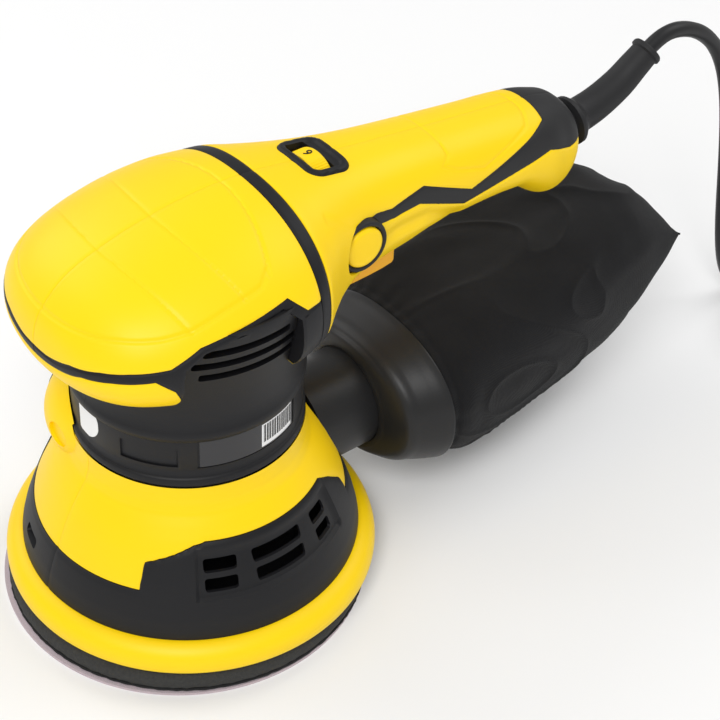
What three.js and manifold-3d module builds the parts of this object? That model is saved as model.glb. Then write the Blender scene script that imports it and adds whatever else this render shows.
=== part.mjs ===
// Random orbital sander with a rear handle, a fabric dust bag and a mains lead.
// Millimetres. +Z is up, +Y runs back towards the end of the handle, and +X is the
// side that carries the lock button. The origin is where the motor's axis meets the
// underside of the sanding disc.

import * as THREE from 'three';
import { mergeVertices } from 'three/addons/utils/BufferGeometryUtils.js';
import Module from 'manifold-3d';

const wasm = await Module();
wasm.setup();

// ---------------------------------------------------------------- driving dimensions

const GAP = 0.3; // clearance between neighbouring pieces
const WALL = 3; // wall of the moulded casings
const INLAY = 1.4; // depth of the black grip mouldings in the casings

const PAD_R = 75; // sanding pad, 150 mm across
const ORBIT = 2; // offset of the pad's axis from the motor's axis
const DISC_TOP = 1.2;
const HOOK_TOP = 2.6;
const FOAM_TOP = 10.4;

const RIM_R = 76.5; // outer lip of the shroud
const RIM_BASE = 11.6;
const RIM_TOP = 24;
const BAND_TOP = 43; // upper edge of the vent band at the front
const BAND_SIDE_TOP = 62.5; // upper edge of its raised sides
const SHROUD_TOP = 84;
const NECK_R = 45;
const MOTOR_BORE_R = 41.5; // inside of the neck

const LOOP_FRONT = 26; // the black loop between the head and the handle
const LOOP_REAR = 32;
const SEAM = 0.15; // each casing half stops this far from the plane x = 0

const TUBE_R = 22.2; // dust outlet
const TUBE_Z = 49;
const TUBE_END = 99;
const COLLAR_FRONT = 80.5;
const COLLAR_REAR = 103;
const BAG_END = 254;

const CORD_R = 3.5;

const BUTTON = { x: 28, y: 62.5, z: 153.5, r: 8.6 };
const DIAL = { y: 58.5, z: 168.6, r: 13, half: 4 }; // its pin runs along Y
const BEZEL_Y = 60;

const YELLOW = { color: 0xffdc00, roughness: 0.42, metalness: 0 };
const AMBER = { color: 0xffc31e, roughness: 0.4, metalness: 0 };
const BLACK = { color: 0x2b2b2e, roughness: 0.5, metalness: 0 };
const RUBBER = { color: 0x202022, roughness: 0.75, metalness: 0 };
const GREY = { color: 0x3a3a3c, roughness: 0.55, metalness: 0 };
const STEEL = { color: 0xb9bcc0, roughness: 0.3, metalness: 1 };
const CORE = { color: 0x7f8286, roughness: 0.45, metalness: 1 };
const COPPER = { color: 0xb8692d, roughness: 0.35, metalness: 1 };
const ALLOY = { color: 0xc9cbcd, roughness: 0.4, metalness: 1 };
const FABRIC = { color: 0x141416, roughness: 0.95, metalness: 0 };
const PAPER = { color: 0xf2f2ee, roughness: 0.6, metalness: 0 };
const ABRASIVE = { color: 0xc9b8be, roughness: 0.95, metalness: 0 };
const CIRCUIT = { color: 0x2f6b3a, roughness: 0.5, metalness: 0 };

const sander = new THREE.Group();

// ---------------------------------------------------------------- solids

function enclosedVolume(geometry) {
  const p = geometry.attributes.position;
  const index = geometry.index;
  const [a, b, c] = [new THREE.Vector3(), new THREE.Vector3(), new THREE.Vector3()];
  let volume = 0;
  for (let i = 0; i < index.count; i += 3) {
    a.fromBufferAttribute(p, index.getX(i));
    b.fromBufferAttribute(p, index.getX(i + 1));
    c.fromBufferAttribute(p, index.getX(i + 2));
    volume += a.dot(b.cross(c)) / 6;
  }
  return volume;
}

// A closed three.js geometry as a solid, with its faces turned outwards.
function solid(geometry) {
  const bare = geometry.clone();
  bare.deleteAttribute('normal');
  bare.deleteAttribute('uv');
  const welded = mergeVertices(bare, 1e-3);
  const triVerts = new Uint32Array(welded.index.array);
  if (enclosedVolume(welded) < 0) {
    triVerts.reverse();
  }
  const vertProperties = new Float32Array(welded.attributes.position.array);
  return new wasm.Manifold(new wasm.Mesh({ numProp: 3, vertProperties, triVerts }));
}

function geometryOf(body) {
  const mesh = body.getMesh();
  const geometry = new THREE.BufferGeometry();
  geometry.setAttribute('position', new THREE.BufferAttribute(mesh.vertProperties, 3));
  geometry.setIndex(new THREE.BufferAttribute(mesh.triVerts, 1));
  geometry.computeVertexNormals();
  return geometry;
}

// Adds a solid to the sander as a named mesh. A cut may leave a crumb beside the
// piece, so only the largest body of the solid is kept.
function place(name, body, finish, parent = sander) {
  const bodies = body.decompose().sort((a, b) => b.volume() - a.volume());
  const mesh = new THREE.Mesh(geometryOf(bodies[0]), new THREE.MeshStandardMaterial(finish));
  mesh.name = name;
  parent.add(mesh);
  return mesh;
}

function block([x0, x1], [y0, y1], [z0, z1]) {
  const box = new THREE.BoxGeometry(x1 - x0, y1 - y0, z1 - z0);
  box.translate((x0 + x1) / 2, (y0 + y1) / 2, (z0 + z1) / 2);
  return solid(box);
}

// A closed profile of [radius, height] points turned about the Z axis.
function turned(profile, sides = 36) {
  const points = profile.map(([r, z]) => new THREE.Vector2(r, z));
  const lathe = new THREE.LatheGeometry(points, sides);
  lathe.rotateX(Math.PI / 2);
  return solid(lathe);
}

function rod(radius, z0, z1, sides = 24) {
  return turned([[0, z0], [radius, z0], [radius, z1], [0, z1]], sides);
}

function ring(outer, inner, z0, z1, sides = 36) {
  return turned([[inner, z0], [outer, z0], [outer, z1], [inner, z1], [inner, z0]], sides);
}

// The same shapes about an axis along X or along Y, through the point given.
function alongX(body, x, y, z) {
  return body.rotate([0, 90, 0]).translate([x, y, z]);
}

function alongY(body, x, y, z) {
  return body.rotate([-90, 0, 0]).translate([x, y, z]);
}

// An outline moved outwards by the distance given, or inwards where it is negative.
function grown(outline, by) {
  const points = outline.map(([u, v]) => new THREE.Vector2(u, v));
  const sign = THREE.ShapeUtils.isClockWise(points) ? -1 : 1;
  return points.map((point, i) => {
    const before = points[(i + points.length - 1) % points.length];
    const after = points[(i + 1) % points.length];
    const arrive = point.clone().sub(before).normalize();
    const leave = after.clone().sub(point).normalize();
    const outA = new THREE.Vector2(arrive.y, -arrive.x);
    const outB = new THREE.Vector2(leave.y, -leave.x);
    const mitre = outA.clone().add(outB).divideScalar(1 + outA.dot(outB));
    return [point.x + sign * by * mitre.x, point.y + sign * by * mitre.y];
  });
}

// An outline in the plane of Y and Z, extruded along X.
function sidePlate(outline, x0, x1) {
  const shape = new THREE.Shape(outline.map(([y, z]) => new THREE.Vector2(y, z)));
  const plate = new THREE.ExtrudeGeometry(shape, { depth: x1 - x0, bevelEnabled: false });
  const axes = new THREE.Matrix4().makeBasis(
    new THREE.Vector3(0, 1, 0),
    new THREE.Vector3(0, 0, 1),
    new THREE.Vector3(1, 0, 0),
  );
  plate.applyMatrix4(axes);
  plate.translate(x0, 0, 0);
  return solid(plate);
}

// A body through oval sections across Y. Each section has its half width w, its top,
// the height mid of its widest point, its foot, and n, 2 for an ellipse and more for a
// squarer oval.
function loft(sections, sides = 24) {
  const last = sections.length - 1;
  const geometry = new THREE.CylinderGeometry(1, 1, 1, sides, last);
  const p = geometry.attributes.position;
  for (let i = 0; i < p.count; i += 1) {
    const s = sections[Math.round((p.getY(i) + 0.5) * last)];
    const reach = Math.hypot(p.getX(i), p.getZ(i));
    const angle = Math.atan2(p.getZ(i), p.getX(i));
    const across = Math.cos(angle);
    const up = Math.sin(angle);
    const x = reach * s.w * Math.sign(across) * Math.abs(across) ** (2 / s.n);
    const rise = reach * Math.sign(up) * Math.abs(up) ** (2 / s.n);
    const height = up > 0 ? s.top - s.mid : s.mid - s.foot;
    p.setXYZ(i, x + (s.x ?? 0), s.y, s.mid + rise * height);
  }
  return solid(geometry);
}

// The same body grown all round, or shrunk where the distance is negative.
function thickened(sections, by) {
  const first = sections[0].y;
  const last = sections[sections.length - 1].y;
  const middle = (first + last) / 2;
  const growth = 1 + (2 * by) / (last - first);
  return sections.map((s) => ({
    ...s,
    y: middle + (s.y - middle) * growth,
    w: Math.max(s.w + by, 1),
    top: Math.max(s.top + by, s.mid + 1),
    foot: Math.min(s.foot - by, s.mid - 1),
  }));
}

// A round bar of changing radius along a curve.
function flexible(curve, radiusAt, steps, sides = 10) {
  const frames = curve.computeFrenetFrames(steps, false);
  const geometry = new THREE.CylinderGeometry(1, 1, 1, sides, steps);
  const p = geometry.attributes.position;
  for (let i = 0; i < p.count; i += 1) {
    const step = Math.round((0.5 - p.getY(i)) * steps);
    const centre = curve.getPointAt(step / steps);
    const r = radiusAt(step / steps);
    centre.addScaledVector(frames.normals[step], p.getX(i) * r);
    centre.addScaledVector(frames.binormals[step], p.getZ(i) * r);
    p.setXYZ(i, centre.x, centre.y, centre.z);
  }
  return solid(geometry);
}

// A round tube of one radius along a curve.
function tubeAlong(curve, radius, steps, sides = 8) {
  const round = new THREE.Shape(new THREE.EllipseCurve(0, 0, radius, radius).getPoints(sides));
  return solid(new THREE.ExtrudeGeometry(round, { steps, bevelEnabled: false, extrudePath: curve }));
}

const LEFT = block([-200, -SEAM], [-200, 300], [-10, 300]);
const RIGHT = block([SEAM, 200], [-200, 300], [-10, 300]);

// A casing is moulded as two halves that meet on the plane x = 0.
function placeHalves(name, body, finish) {
  place(`${name}_left`, body.intersect(LEFT), finish);
  place(`${name}_right`, body.intersect(RIGHT), finish);
}

// ---------------------------------------------------------------- pad and sanding disc

const pad = new THREE.Group();
pad.position.set(0, -ORBIT, 0);
sander.add(pad);

const HOLES = 6;
const HOLE_CIRCLE_R = 40;
const HOLE_R = 5;
const SCREWS = 4;
const SCREW_CIRCLE_R = 20;

function around(count, radius, phase, make) {
  return Array.from({ length: count }, (_, i) => {
    const angle = phase + (i * 2 * Math.PI) / count;
    return make(radius * Math.cos(angle), radius * Math.sin(angle), i);
  });
}

function cutAll(body, tools) {
  return tools.reduce((rest, tool) => rest.subtract(tool), body);
}

const dustHoles = around(HOLES, HOLE_CIRCLE_R, 0, (x, y) => rod(HOLE_R, -1, 20, 8).translate([x, y, 0]));
const screwSpots = around(SCREWS, SCREW_CIRCLE_R, Math.PI / 4, (x, y) => [x, y]);

const disc = rod(PAD_R, 0, DISC_TOP, 40);
place('sanding_disc', cutAll(disc, dustHoles), ABRASIVE, pad);

const screwWells = screwSpots.map(([x, y]) => rod(6, DISC_TOP, FOAM_TOP + 1, 8).translate([x, y, 0]));
const hook = rod(PAD_R - 0.4, DISC_TOP + GAP, HOOK_TOP, 40);
place('hook_face', cutAll(cutAll(hook, dustHoles), screwWells), RUBBER, pad);

const foam = turned([
  [0, HOOK_TOP + GAP],
  [PAD_R - 0.6, HOOK_TOP + GAP],
  [PAD_R - 0.2, 6],
  [PAD_R - 2.5, FOAM_TOP],
  [0, FOAM_TOP],
], 40);
place('foam_pad', cutAll(cutAll(foam, dustHoles), screwWells), RUBBER, pad);

const PLATE_TOP = 14;
const HUB_TOP = 23;
const BEARING_R = 11;
const plateScrewHole = rod(2.2, FOAM_TOP - 1, 30, 8);
const plate = turned([
  [0, FOAM_TOP + GAP],
  [66, FOAM_TOP + GAP],
  [66, 12.6],
  [28, PLATE_TOP],
  [26, HUB_TOP],
  [BEARING_R + GAP, HUB_TOP],
  [BEARING_R + GAP, 13],
  [0, 13],
], 28);
const plateScrewHoles = screwSpots.map(([x, y]) => plateScrewHole.translate([x, y, 0]));
place('backing_plate', cutAll(cutAll(plate, dustHoles), plateScrewHoles), BLACK, pad);

screwSpots.forEach(([x, y], i) => {
  const head = turned([[0, 6.4], [4.4, 6.4], [4.4, 8.6], [1.9, FOAM_TOP], [1.9, 20], [0, 20]], 8);
  const slot = block([-3, 3], [-0.5, 0.5], [6, 7.2]);
  place(`pad_screw_${i + 1}`, head.subtract(slot).translate([x, y, 0]), STEEL, pad);
});

const STUB_R = 5;
place('pad_bearing', ring(BEARING_R, STUB_R + GAP, 13.5, 22.7, 20), STEEL, pad);

// ---------------------------------------------------------------- motor armature

const SHAFT_R = 4.2;
const ROTOR_R = 19;
const STACK = [92, 130];
const COMMUTATOR = [138, 152];

const stub = rod(STUB_R, 14.2, 25, 20).translate([0, -ORBIT, 0]);
const weightDisc = rod(27, 25, 33, 24).subtract(block([-40, 40], [-40, -8], [20, 40]));
const weightBoss = rod(10, 24.9, 50, 20).add(rod(7.5, 24.9, 30, 20).translate([0, -ORBIT, 0]));
const counterweight = stub.add(weightDisc).add(weightBoss).subtract(rod(SHAFT_R + GAP, 28, 60, 24));
place('counterweight', counterweight, CORE);

place('armature_shaft', turned([
  [0, 29],
  [SHAFT_R, 29],
  [SHAFT_R, 168],
  [0, 168],
], 24), STEEL);

const FAN_R = 36;
const FAN_BLADES = 8;
const fanBlades = around(FAN_BLADES, 0, 0, (x, y, i) => {
  const blade = block([13, FAN_R - 1], [-0.8, 0.8], [63.9, 72]);
  return blade.rotate([0, 0, (i * 360) / FAN_BLADES]);
});
const fanDisc = ring(FAN_R, SHAFT_R + GAP, 62, 64, 28).add(ring(9, SHAFT_R + GAP, 54, 74, 20));
place('fan', fanBlades.reduce((body, blade) => body.add(blade), fanDisc), GREY);

const SLOTS = 8;
const SLOT_CIRCLE_R = 16;
const throughSlots = (r, z0, z1) => around(SLOTS, SLOT_CIRCLE_R, 0, (x, y) => (
  rod(r, z0, z1, 6).translate([x, y, 0])
));
const rotor = ring(ROTOR_R, SHAFT_R + GAP, ...STACK, 24);
place('rotor_core', cutAll(rotor, throughSlots(1.9, 80, 140)), CORE);

const windingEnds = ring(18, SHAFT_R + GAP, STACK[1] + GAP, 137.7, 20)
  .add(ring(18, SHAFT_R + GAP, 87, STACK[0] - GAP, 20));
const winding = throughSlots(1.4, 90, 132).reduce((body, bar) => body.add(bar), windingEnds);
place('armature_winding', winding, COPPER);

const BARS = 8;
const barGaps = around(BARS, 0, 0, (x, y, i) => {
  const cut = block([9.8, 12], [-0.3, 0.3], [136, 154]);
  return cut.rotate([0, 0, (i * 360) / BARS]);
});
place('commutator', cutAll(ring(11, SHAFT_R + GAP, ...COMMUTATOR, 16), barGaps), COPPER);

// ---------------------------------------------------------------- motor's fixed parts

place('lower_bearing', ring(13, SHAFT_R + GAP, 76, 84, 20), STEEL);
place('upper_bearing', ring(9.5, SHAFT_R + GAP, 157, 164, 20), STEEL);

const plateVents = around(6, 27, 0, (x, y) => rod(4.5, 70, 95, 6).translate([x, y, 0]));
const bearingPlate = ring(41.2, 13.3, 78, 81, 28).add(ring(17, 13.3, 75, 84, 20));
place('bearing_plate', cutAll(bearingPlate, plateVents), ALLOY);

const poleGap = [[19.8, -9], [36, -13], [36, 13], [19.8, 9]];
const stator = ring(40.6, 19.8, ...STACK, 28);
const coilRoom = [0, 180].map((turn) => {
  const shape = new THREE.Shape(poleGap.map(([x, y]) => new THREE.Vector2(x, y)));
  const prism = new THREE.ExtrudeGeometry(shape, { depth: 60, bevelEnabled: false });
  return solid(prism).translate([0, 0, 80]).rotate([0, 0, turn]);
});
place('stator_core', cutAll(stator, coilRoom), CORE);

[['front', -90], ['rear', 90]].forEach(([where, turn]) => {
  const arch = ring(35, 23.5, STACK[1] + GAP, 137, 36);
  const wedge = block([3, 60], [-24, 24], [100, 160]);
  place(`field_coil_${where}`, arch.intersect(wedge).rotate([0, 0, turn]), COPPER);
});

const spider = ring(12, 9.8, 155, 165, 20).add(block([9.8, 40], [-3.5, 3.5], [158, 162]))
  .add(block([-40, -9.8], [-3.5, 3.5], [158, 162]));
const bearingBridge = spider
  .add(block([36, 40], [-6, 6], [137.6, 162]))
  .add(block([-40, -36], [-6, 6], [137.6, 162]));
place('bearing_bridge', bearingBridge, BLACK);

[['left', -1], ['right', 1]].forEach(([side, sign]) => {
  const holder = block([13.5, 33], [-5.2, 5.2], [141, 149.5])
    .subtract(block([13, 31], [-3.3, 3.3], [142.6, 148]));
  const brush = block([11.3, 26], [-3, 3], [142.9, 147.7]);
  const turn = sign > 0 ? 0 : 180;
  place(`brush_holder_${side}`, holder.rotate([0, 0, turn]), BLACK);
  place(`brush_${side}`, brush.rotate([0, 0, turn]), RUBBER);
});

// ---------------------------------------------------------------- shroud, band and rim

// The shroud's outside, from the rim's upper edge to the neck, as [radius, height].
const SHROUD_OUTSIDE = [
  [69, RIM_TOP + GAP],
  [67.2, 32],
  [63.6, 43],
  [60, 52],
  [57, 58],
  [53, 66],
  [47.5, 74],
  [46.6, SHROUD_TOP],
];

// A swelling on the left half runs up beside the neck.
const SWELL = { x: -23, y: -22, z: 79.5, r: 26, h: 24.5 };

function swelling(inset) {
  const ball = new THREE.SphereGeometry(1, 20, 12);
  ball.rotateX(Math.PI / 2);
  ball.scale(SWELL.r - inset, SWELL.r - inset, SWELL.h - inset);
  ball.translate(SWELL.x, SWELL.y, SWELL.z);
  return solid(ball);
}

function shroudForm(inset) {
  const side = SHROUD_OUTSIDE.map(([r, z]) => [r - inset, z]);
  const foot = side[0][1];
  const top = side[side.length - 1][1];
  return turned([[0, foot], ...side, [0, top]], 40).add(swelling(inset));
}

const neckRoom = rod(NECK_R + 1 + GAP, SHROUD_TOP, 130, 48);
const insideNeck = rod(SHROUD_OUTSIDE[7][0] - WALL, 80, 130, 48);
const shroudShell = shroudForm(0)
  .subtract(shroudForm(WALL))
  .subtract(neckRoom)
  .subtract(insideNeck)
  .subtract(block([-100, 100], [-100, 100], [0, RIM_TOP + GAP]));
const dimple = alongY(rod(5.5, -20, 0, 16), -21.5, -46, 79);

// One raised side of the band, between two angles measured round from the front.
function raisedSide(sign, first, last, top) {
  const wedge = new THREE.Shape();
  const from = THREE.MathUtils.degToRad(first);
  const to = THREE.MathUtils.degToRad(last);
  wedge.moveTo(0, 0);
  Array.from({ length: 9 }, (_, i) => from + ((to - from) * i) / 8).forEach((angle) => {
    wedge.lineTo(sign * 100 * Math.sin(angle), -100 * Math.cos(angle));
  });
  wedge.closePath();
  return solid(new THREE.ExtrudeGeometry(wedge, { depth: top, bevelEnabled: false }));
}

function bandZone(spread) {
  const turn = spread / 1.1;
  return block([-100, 100], [-100, 100], [0, BAND_TOP + spread])
    .add(raisedSide(1, 38 - turn, 132 + turn, BAND_SIDE_TOP + spread))
    .add(raisedSide(-1, 48 - turn, 132 + turn, 110));
}

const tubeWay = alongY(rod(TUBE_R + GAP, 0, 80, 28), 0, 30, TUBE_Z);
const shroudOnly = shroudShell.subtract(bandZone(0.35)).subtract(tubeWay).subtract(dimple);
placeHalves('shroud', shroudOnly, YELLOW);

// Two rows of slots on each side let the motor's cooling air out.
const SLOT_HALVES = [7, 12, 5];

function ventSlots() {
  const slots = [];
  [67, 91.5, 115].forEach((angle, i) => {
    [43, 51].forEach((z) => {
      const slot = block([50, 80], [-SLOT_HALVES[i], SLOT_HALVES[i]], [z, z + 5]);
      [angle - 90, 270 - angle].forEach((turn) => slots.push(slot.rotate([0, 0, turn])));
    });
  });
  return slots;
}

const bandShell = shroudShell.intersect(bandZone(0)).subtract(tubeWay);
placeHalves('vent_band', cutAll(bandShell, ventSlots()), BLACK);

place('rim_ring', turned([
  [73.2, RIM_BASE],
  [75.6, RIM_BASE],
  [RIM_R, 13.4],
  [76.3, 17.5],
  [74.2, 21.5],
  [70.8, RIM_TOP],
  [66.5, RIM_TOP],
  [66.5, 20.5],
  [71, 17],
  [73.2, RIM_BASE],
], 40), YELLOW);

place('pad_brake', turned([
  [70.7, 16.6],
  [66.3, 20],
  [60, 20],
  [60, 17.5],
  [58, 14],
  [60, 13.2],
  [62, 16],
  [70.7, 16],
  [70.7, 16.6],
], 28), RUBBER);

// ---------------------------------------------------------------- head, loop and handle

// Sections from the nose, over the motor, along the handle to its end.
const UPPER = [
  [-64.5, 12, 155, 148, 141, 2.2],
  [-62.5, 22.5, 160.5, 148, 137, 2.2],
  [-58, 33, 166.5, 148, 132, 2.2],
  [-50, 42.5, 173, 148, 128, 2.2],
  [-36, 50.5, 178.4, 148, 124.5, 2.2],
  [-18, 55, 182.7, 147, 121, 2.2],
  [0, 56.5, 185.2, 147, 118.5, 2.2],
  [14, 55.5, 186, 147, 118, 2.2],
  [26, 52.5, 185.5, 147.5, 118.5, 2.2],
  [32, 49.5, 185, 148, 119, 2.3],
  [40, 43, 183.6, 149, 121.5, 2.4],
  [50, 35.5, 182, 150, 125.5, 2.6],
  [62, 29.5, 180.2, 151, 129, 2.7],
  [78, 25.5, 177.8, 151, 130, 2.7],
  [95, 23.5, 175.5, 151, 131, 2.6],
  [104, 22.8, 174.2, 151, 133, 2.6],
  [125, 22, 171.2, 150, 133.2, 2.5],
  [148, 21.5, 168.2, 147.5, 132.8, 2.4],
  [157, 21.5, 167.3, 146.5, 131.6, 2.4],
  [163, 21.3, 166.7, 145.5, 127.8, 2.35],
  [172, 20.5, 165.5, 144, 120.3, 2.3],
  [181, 18.5, 163, 141, 118.5, 2.3],
  [189, 15.5, 157, 138.5, 119.8, 2.2],
  [194, 11, 149.5, 136.5, 124.5, 2.1],
].map(([y, w, top, mid, foot, n]) => ({ y, w, top, mid, foot, n }));

const HEAD_FLOOR = 132; // flat underside of the head in front of the loop

function upperForm(by) {
  const underHead = block([-100, 100], [-100, LOOP_FRONT], [50, HEAD_FLOOR - by]);
  return loft(thickened(UPPER, by)).subtract(underHead);
}

const upperOutside = upperForm(0);
const upperInside = upperForm(-WALL);
const underInlay = upperForm(-INLAY);
const inlayFloor = upperForm(-INLAY - GAP);
const aroundUpper = upperForm(GAP);
const inlaySkin = upperOutside.subtract(underInlay);
const inlayRecess = aroundUpper.subtract(inlayFloor);
const casing = upperOutside.subtract(upperInside).subtract(rod(NECK_R + 1 + GAP, 100, 140, 48));

function slab(y0, y1) {
  return block([-100, 100], [y0, y1], [50, 250]);
}

// Either side of the head stands open over the motor's air inlets.
const INLET_SIDE = [
  [-34.5, 90],
  [-34.5, 149],
  [-33.4, 154],
  [-25.5, 158.6],
  [8, 163.6],
  [14.5, 157],
  [LOOP_FRONT, 153],
  [LOOP_FRONT, 90],
];
const inletSides = sidePlate(INLET_SIDE, -100, 100);

// The black band runs round the nose and over the open sides, to meet the loop.
const NOSE_BAND = [
  [-80, 143.4],
  [-64.6, 143.8],
  [-61.3, 148.2],
  [-55.5, 150],
  [-43.5, 151.4],
  [-37.3, 146],
  [-34, 140],
  [-31, 140],
  [-30, 152],
  [-24, 155],
  [6, 159],
  [12, 152],
  [40, 149],
  [40, 158],
  [18.5, 158.6],
  [11, 166],
  [-26.4, 161],
  [-34.9, 157.2],
  [-38, 155.7],
  [-50.4, 154.6],
  [-57.5, 153.3],
  [-62.7, 151],
  [-64.6, 148],
  [-80, 148],
];
const noseBand = sidePlate(NOSE_BAND, -100, 100);
const frontHalf = slab(-100, LOOP_FRONT);
placeHalves('nose_band', inlaySkin.intersect(noseBand).intersect(frontHalf).subtract(inletSides), BLACK);

const noseRecess = inlayRecess.intersect(sidePlate(grown(NOSE_BAND, GAP), -100, 100));
const headShell = casing.intersect(slab(-100, LOOP_FRONT)).subtract(inletSides).subtract(noseRecess);
placeHalves('head_cover', headShell, YELLOW);

placeHalves('loop_band', casing.intersect(slab(LOOP_FRONT + GAP, LOOP_REAR - GAP)), BLACK);

// The black moulding along each side of the handle, widening to the end cap.
const SIDE_STRIP = [
  [71.5, 163],
  [80.4, 160.8],
  [98.1, 162.6],
  [123.5, 150.8],
  [167.5, 162.3],
  [169, 195],
  [215, 195],
  [215, 146],
  [181, 146],
  [167.5, 151.2],
  [120.5, 144.8],
  [95.3, 156.2],
  [81.5, 156.2],
  [74.5, 158.5],
];
const stripZone = sidePlate(SIDE_STRIP, -60, 60);
const cordHole = alongY(rod(9.3, 0, 30, 20), 0, 176, 142.6);
const stripBody = inlaySkin.intersect(stripZone).subtract(cordHole);
placeHalves('grip_strip', stripBody, BLACK);

const stripRecess = inlayRecess.intersect(sidePlate(grown(SIDE_STRIP, GAP), -60, 60));

const triggerSlot = block([-9.3, 9.3], [53, 100], [100, 136]);
const buttonHole = alongX(rod(BUTTON.r + 2.8, -12, 20, 28), BUTTON.x, BUTTON.y, BUTTON.z);
const dialHole = block([-13.3, 13.3], [BEZEL_Y - 10.3, BEZEL_Y + 10.3], [165, 200]);
const handleShell = cutAll(casing.intersect(slab(LOOP_REAR, 220)), [
  stripRecess,
  triggerSlot,
  buttonHole,
  dialHole,
  cordHole,
]);
placeHalves('handle_cover', handleShell, YELLOW);

// ---------------------------------------------------------------- neck

const neckTube = turned([
  [NECK_R, SHROUD_TOP + GAP],
  [NECK_R, 88],
  [NECK_R + 1, 89],
  [NECK_R + 1, 122],
  [48, 140],
  [52, 163],
  [49, 163],
  [MOTOR_BORE_R, 128],
  [MOTOR_BORE_R, SHROUD_TOP + GAP],
  [NECK_R, SHROUD_TOP + GAP],
], 40);
const underHead = aroundUpper.subtract(sidePlate(grown(INLET_SIDE, -GAP), -100, 100));
const inletSlots = [-1, 1].flatMap((sign) => [141.5, 147.5, 153.5].map((z) => (
  block([sign > 0 ? 40 : -60, sign > 0 ? 60 : -40], [-21, 10], [z, z + 2.6])
)));
const labelSeat = ring(60, NECK_R + 0.2, 95, 109, 40).intersect(block([20, 60], [-24, 25], [90, 117]));
const neckBody = cutAll(neckTube.subtract(underHead), inletSlots).subtract(labelSeat);
placeHalves('neck', neckBody, BLACK);

const label = ring(NECK_R + 1, NECK_R + 0.5, 95.6, 108.4, 40)
  .intersect(block([20, 60], [-23.2, 24.2], [90, 117]));
place('rating_label', label, GREY);

// ---------------------------------------------------------------- controls

const bezel = block([-13, 13], [BEZEL_Y - 10, BEZEL_Y + 10], [176, 180.6])
  .subtract(block([-11.3, 11.3], [DIAL.y - DIAL.half - 0.5, DIAL.y + DIAL.half + 0.5], [170, 190]));
place('dial_bezel', bezel, BLACK);

const dialTeeth = around(16, DIAL.r + 0.5, 0, (x, y) => rod(0.9, -20, 20, 4).translate([x, y, 0]));
const wheel = cutAll(rod(DIAL.r, -DIAL.half, DIAL.half, 32), dialTeeth);
const dialWheel = alongY(wheel.subtract(rod(2.3, -20, 20, 12)), 0, DIAL.y, DIAL.z);
place('speed_dial', dialWheel, YELLOW);

// The wheel turns on the pin of a regulator on a small upright circuit board.
const dialPin = alongY(rod(2, -DIAL.half, 8, 12), 0, DIAL.y, DIAL.z);
const board = block([-11, 11], [DIAL.y + 6.5, DIAL.y + 8.1], [157, 175]);
place('speed_board', board.add(dialPin), CIRCUIT);

const triggerOutline = [
  [55, 134],
  [55, 119],
  [60, 117],
  [76, 117.2],
  [90, 118],
  [94.5, 118.8],
  [96, 120.5],
  [96, 131.8],
  [70, 134],
];
place('trigger', sidePlate(triggerOutline, -9, 9), AMBER);

place('switch_body', block([-10, 10], [57, 96], [137, 152]), BLACK);

const clampBar = block([-7, 7], [166, 172], [148, 152]).add(block([-7, 7], [166, 172], [133, 137]));
const clampSides = [-1, 1].map((sign) => block([sign > 0 ? 5 : -8, sign > 0 ? 8 : -5], [166, 172], [133, 152]));
place('cord_clamp', clampSides.reduce((body, side) => body.add(side), clampBar), BLACK);

const ringSeat = alongX(ring(BUTTON.r + 2.5, BUTTON.r + 0.3, -9.5, 1.2, 24), BUTTON.x, BUTTON.y, BUTTON.z);
place('lock_button_ring', ringSeat, BLACK);
const button = turned([[0, -12.5], [BUTTON.r, -12.5], [BUTTON.r, 2], [BUTTON.r - 1, 2.8], [0, 2.8]], 24);
place('lock_button', alongX(button, BUTTON.x, BUTTON.y, BUTTON.z), YELLOW);

// ---------------------------------------------------------------- dust outlet and bag

const tube = ring(TUBE_R, TUBE_R - 2.6, 52, TUBE_END, 28);
place('dust_tube', alongY(tube, 0, 0, TUBE_Z), BLACK);

const oval = (y, w, h, z = TUBE_Z, n = 2.2) => ({ y, w, top: z + h, mid: z, foot: z - h, n });
const collarOutside = loft([
  oval(COLLAR_FRONT, 26, 25.5),
  oval(83, 34, 29),
  oval(86, 37, 31),
  oval(COLLAR_REAR - 4, 45.5, 34.5, 51),
  oval(COLLAR_REAR, 46, 35, 51),
], 24);
const collarInside = loft([
  oval(86.5, 30, 27),
  oval(COLLAR_REAR - 4, 42.5, 31.5, 51),
  oval(COLLAR_REAR + 1, 43, 32, 51),
], 24);
const sleeve = alongY(ring(TUBE_R + 2.6, TUBE_R + GAP, 81, 100, 28), 0, 0, TUBE_Z);
const collarBore = alongY(rod(TUBE_R + GAP, 60, 120, 28), 0, 0, TUBE_Z);
const collar = collarOutside.subtract(collarInside).subtract(collarBore).add(sleeve);
place('bag_collar', collar, GREY);

// The bag rises a little and leans left towards its closed end.
const bagSections = [
  [COLLAR_REAR + GAP, 0, 43, 51, 33.5],
  [115, -1, 46, 52, 36.5],
  [130, -2, 48, 53, 38.5],
  [150, -4, 47, 56, 38.5],
  [170, -5, 46, 59, 38],
  [190, -6, 44.5, 61, 37],
  [210, -7, 42, 65, 34],
  [228, -8, 37.5, 69, 29.5],
  [243, -9, 32, 71, 24],
  [BAG_END, -10, 26, 73, 17],
].map(([y, x, w, z, h]) => ({ x, ...oval(y, w, h, z, 2.4) }));
place('dust_bag', loft(bagSections, 24), FABRIC);

// ---------------------------------------------------------------- mains lead

// Points of a smooth curve through the places listed.
function smooth(places) {
  return new THREE.CatmullRomCurve3(places.map(([x, y, z]) => new THREE.Vector3(x, y, z)));
}

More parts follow.
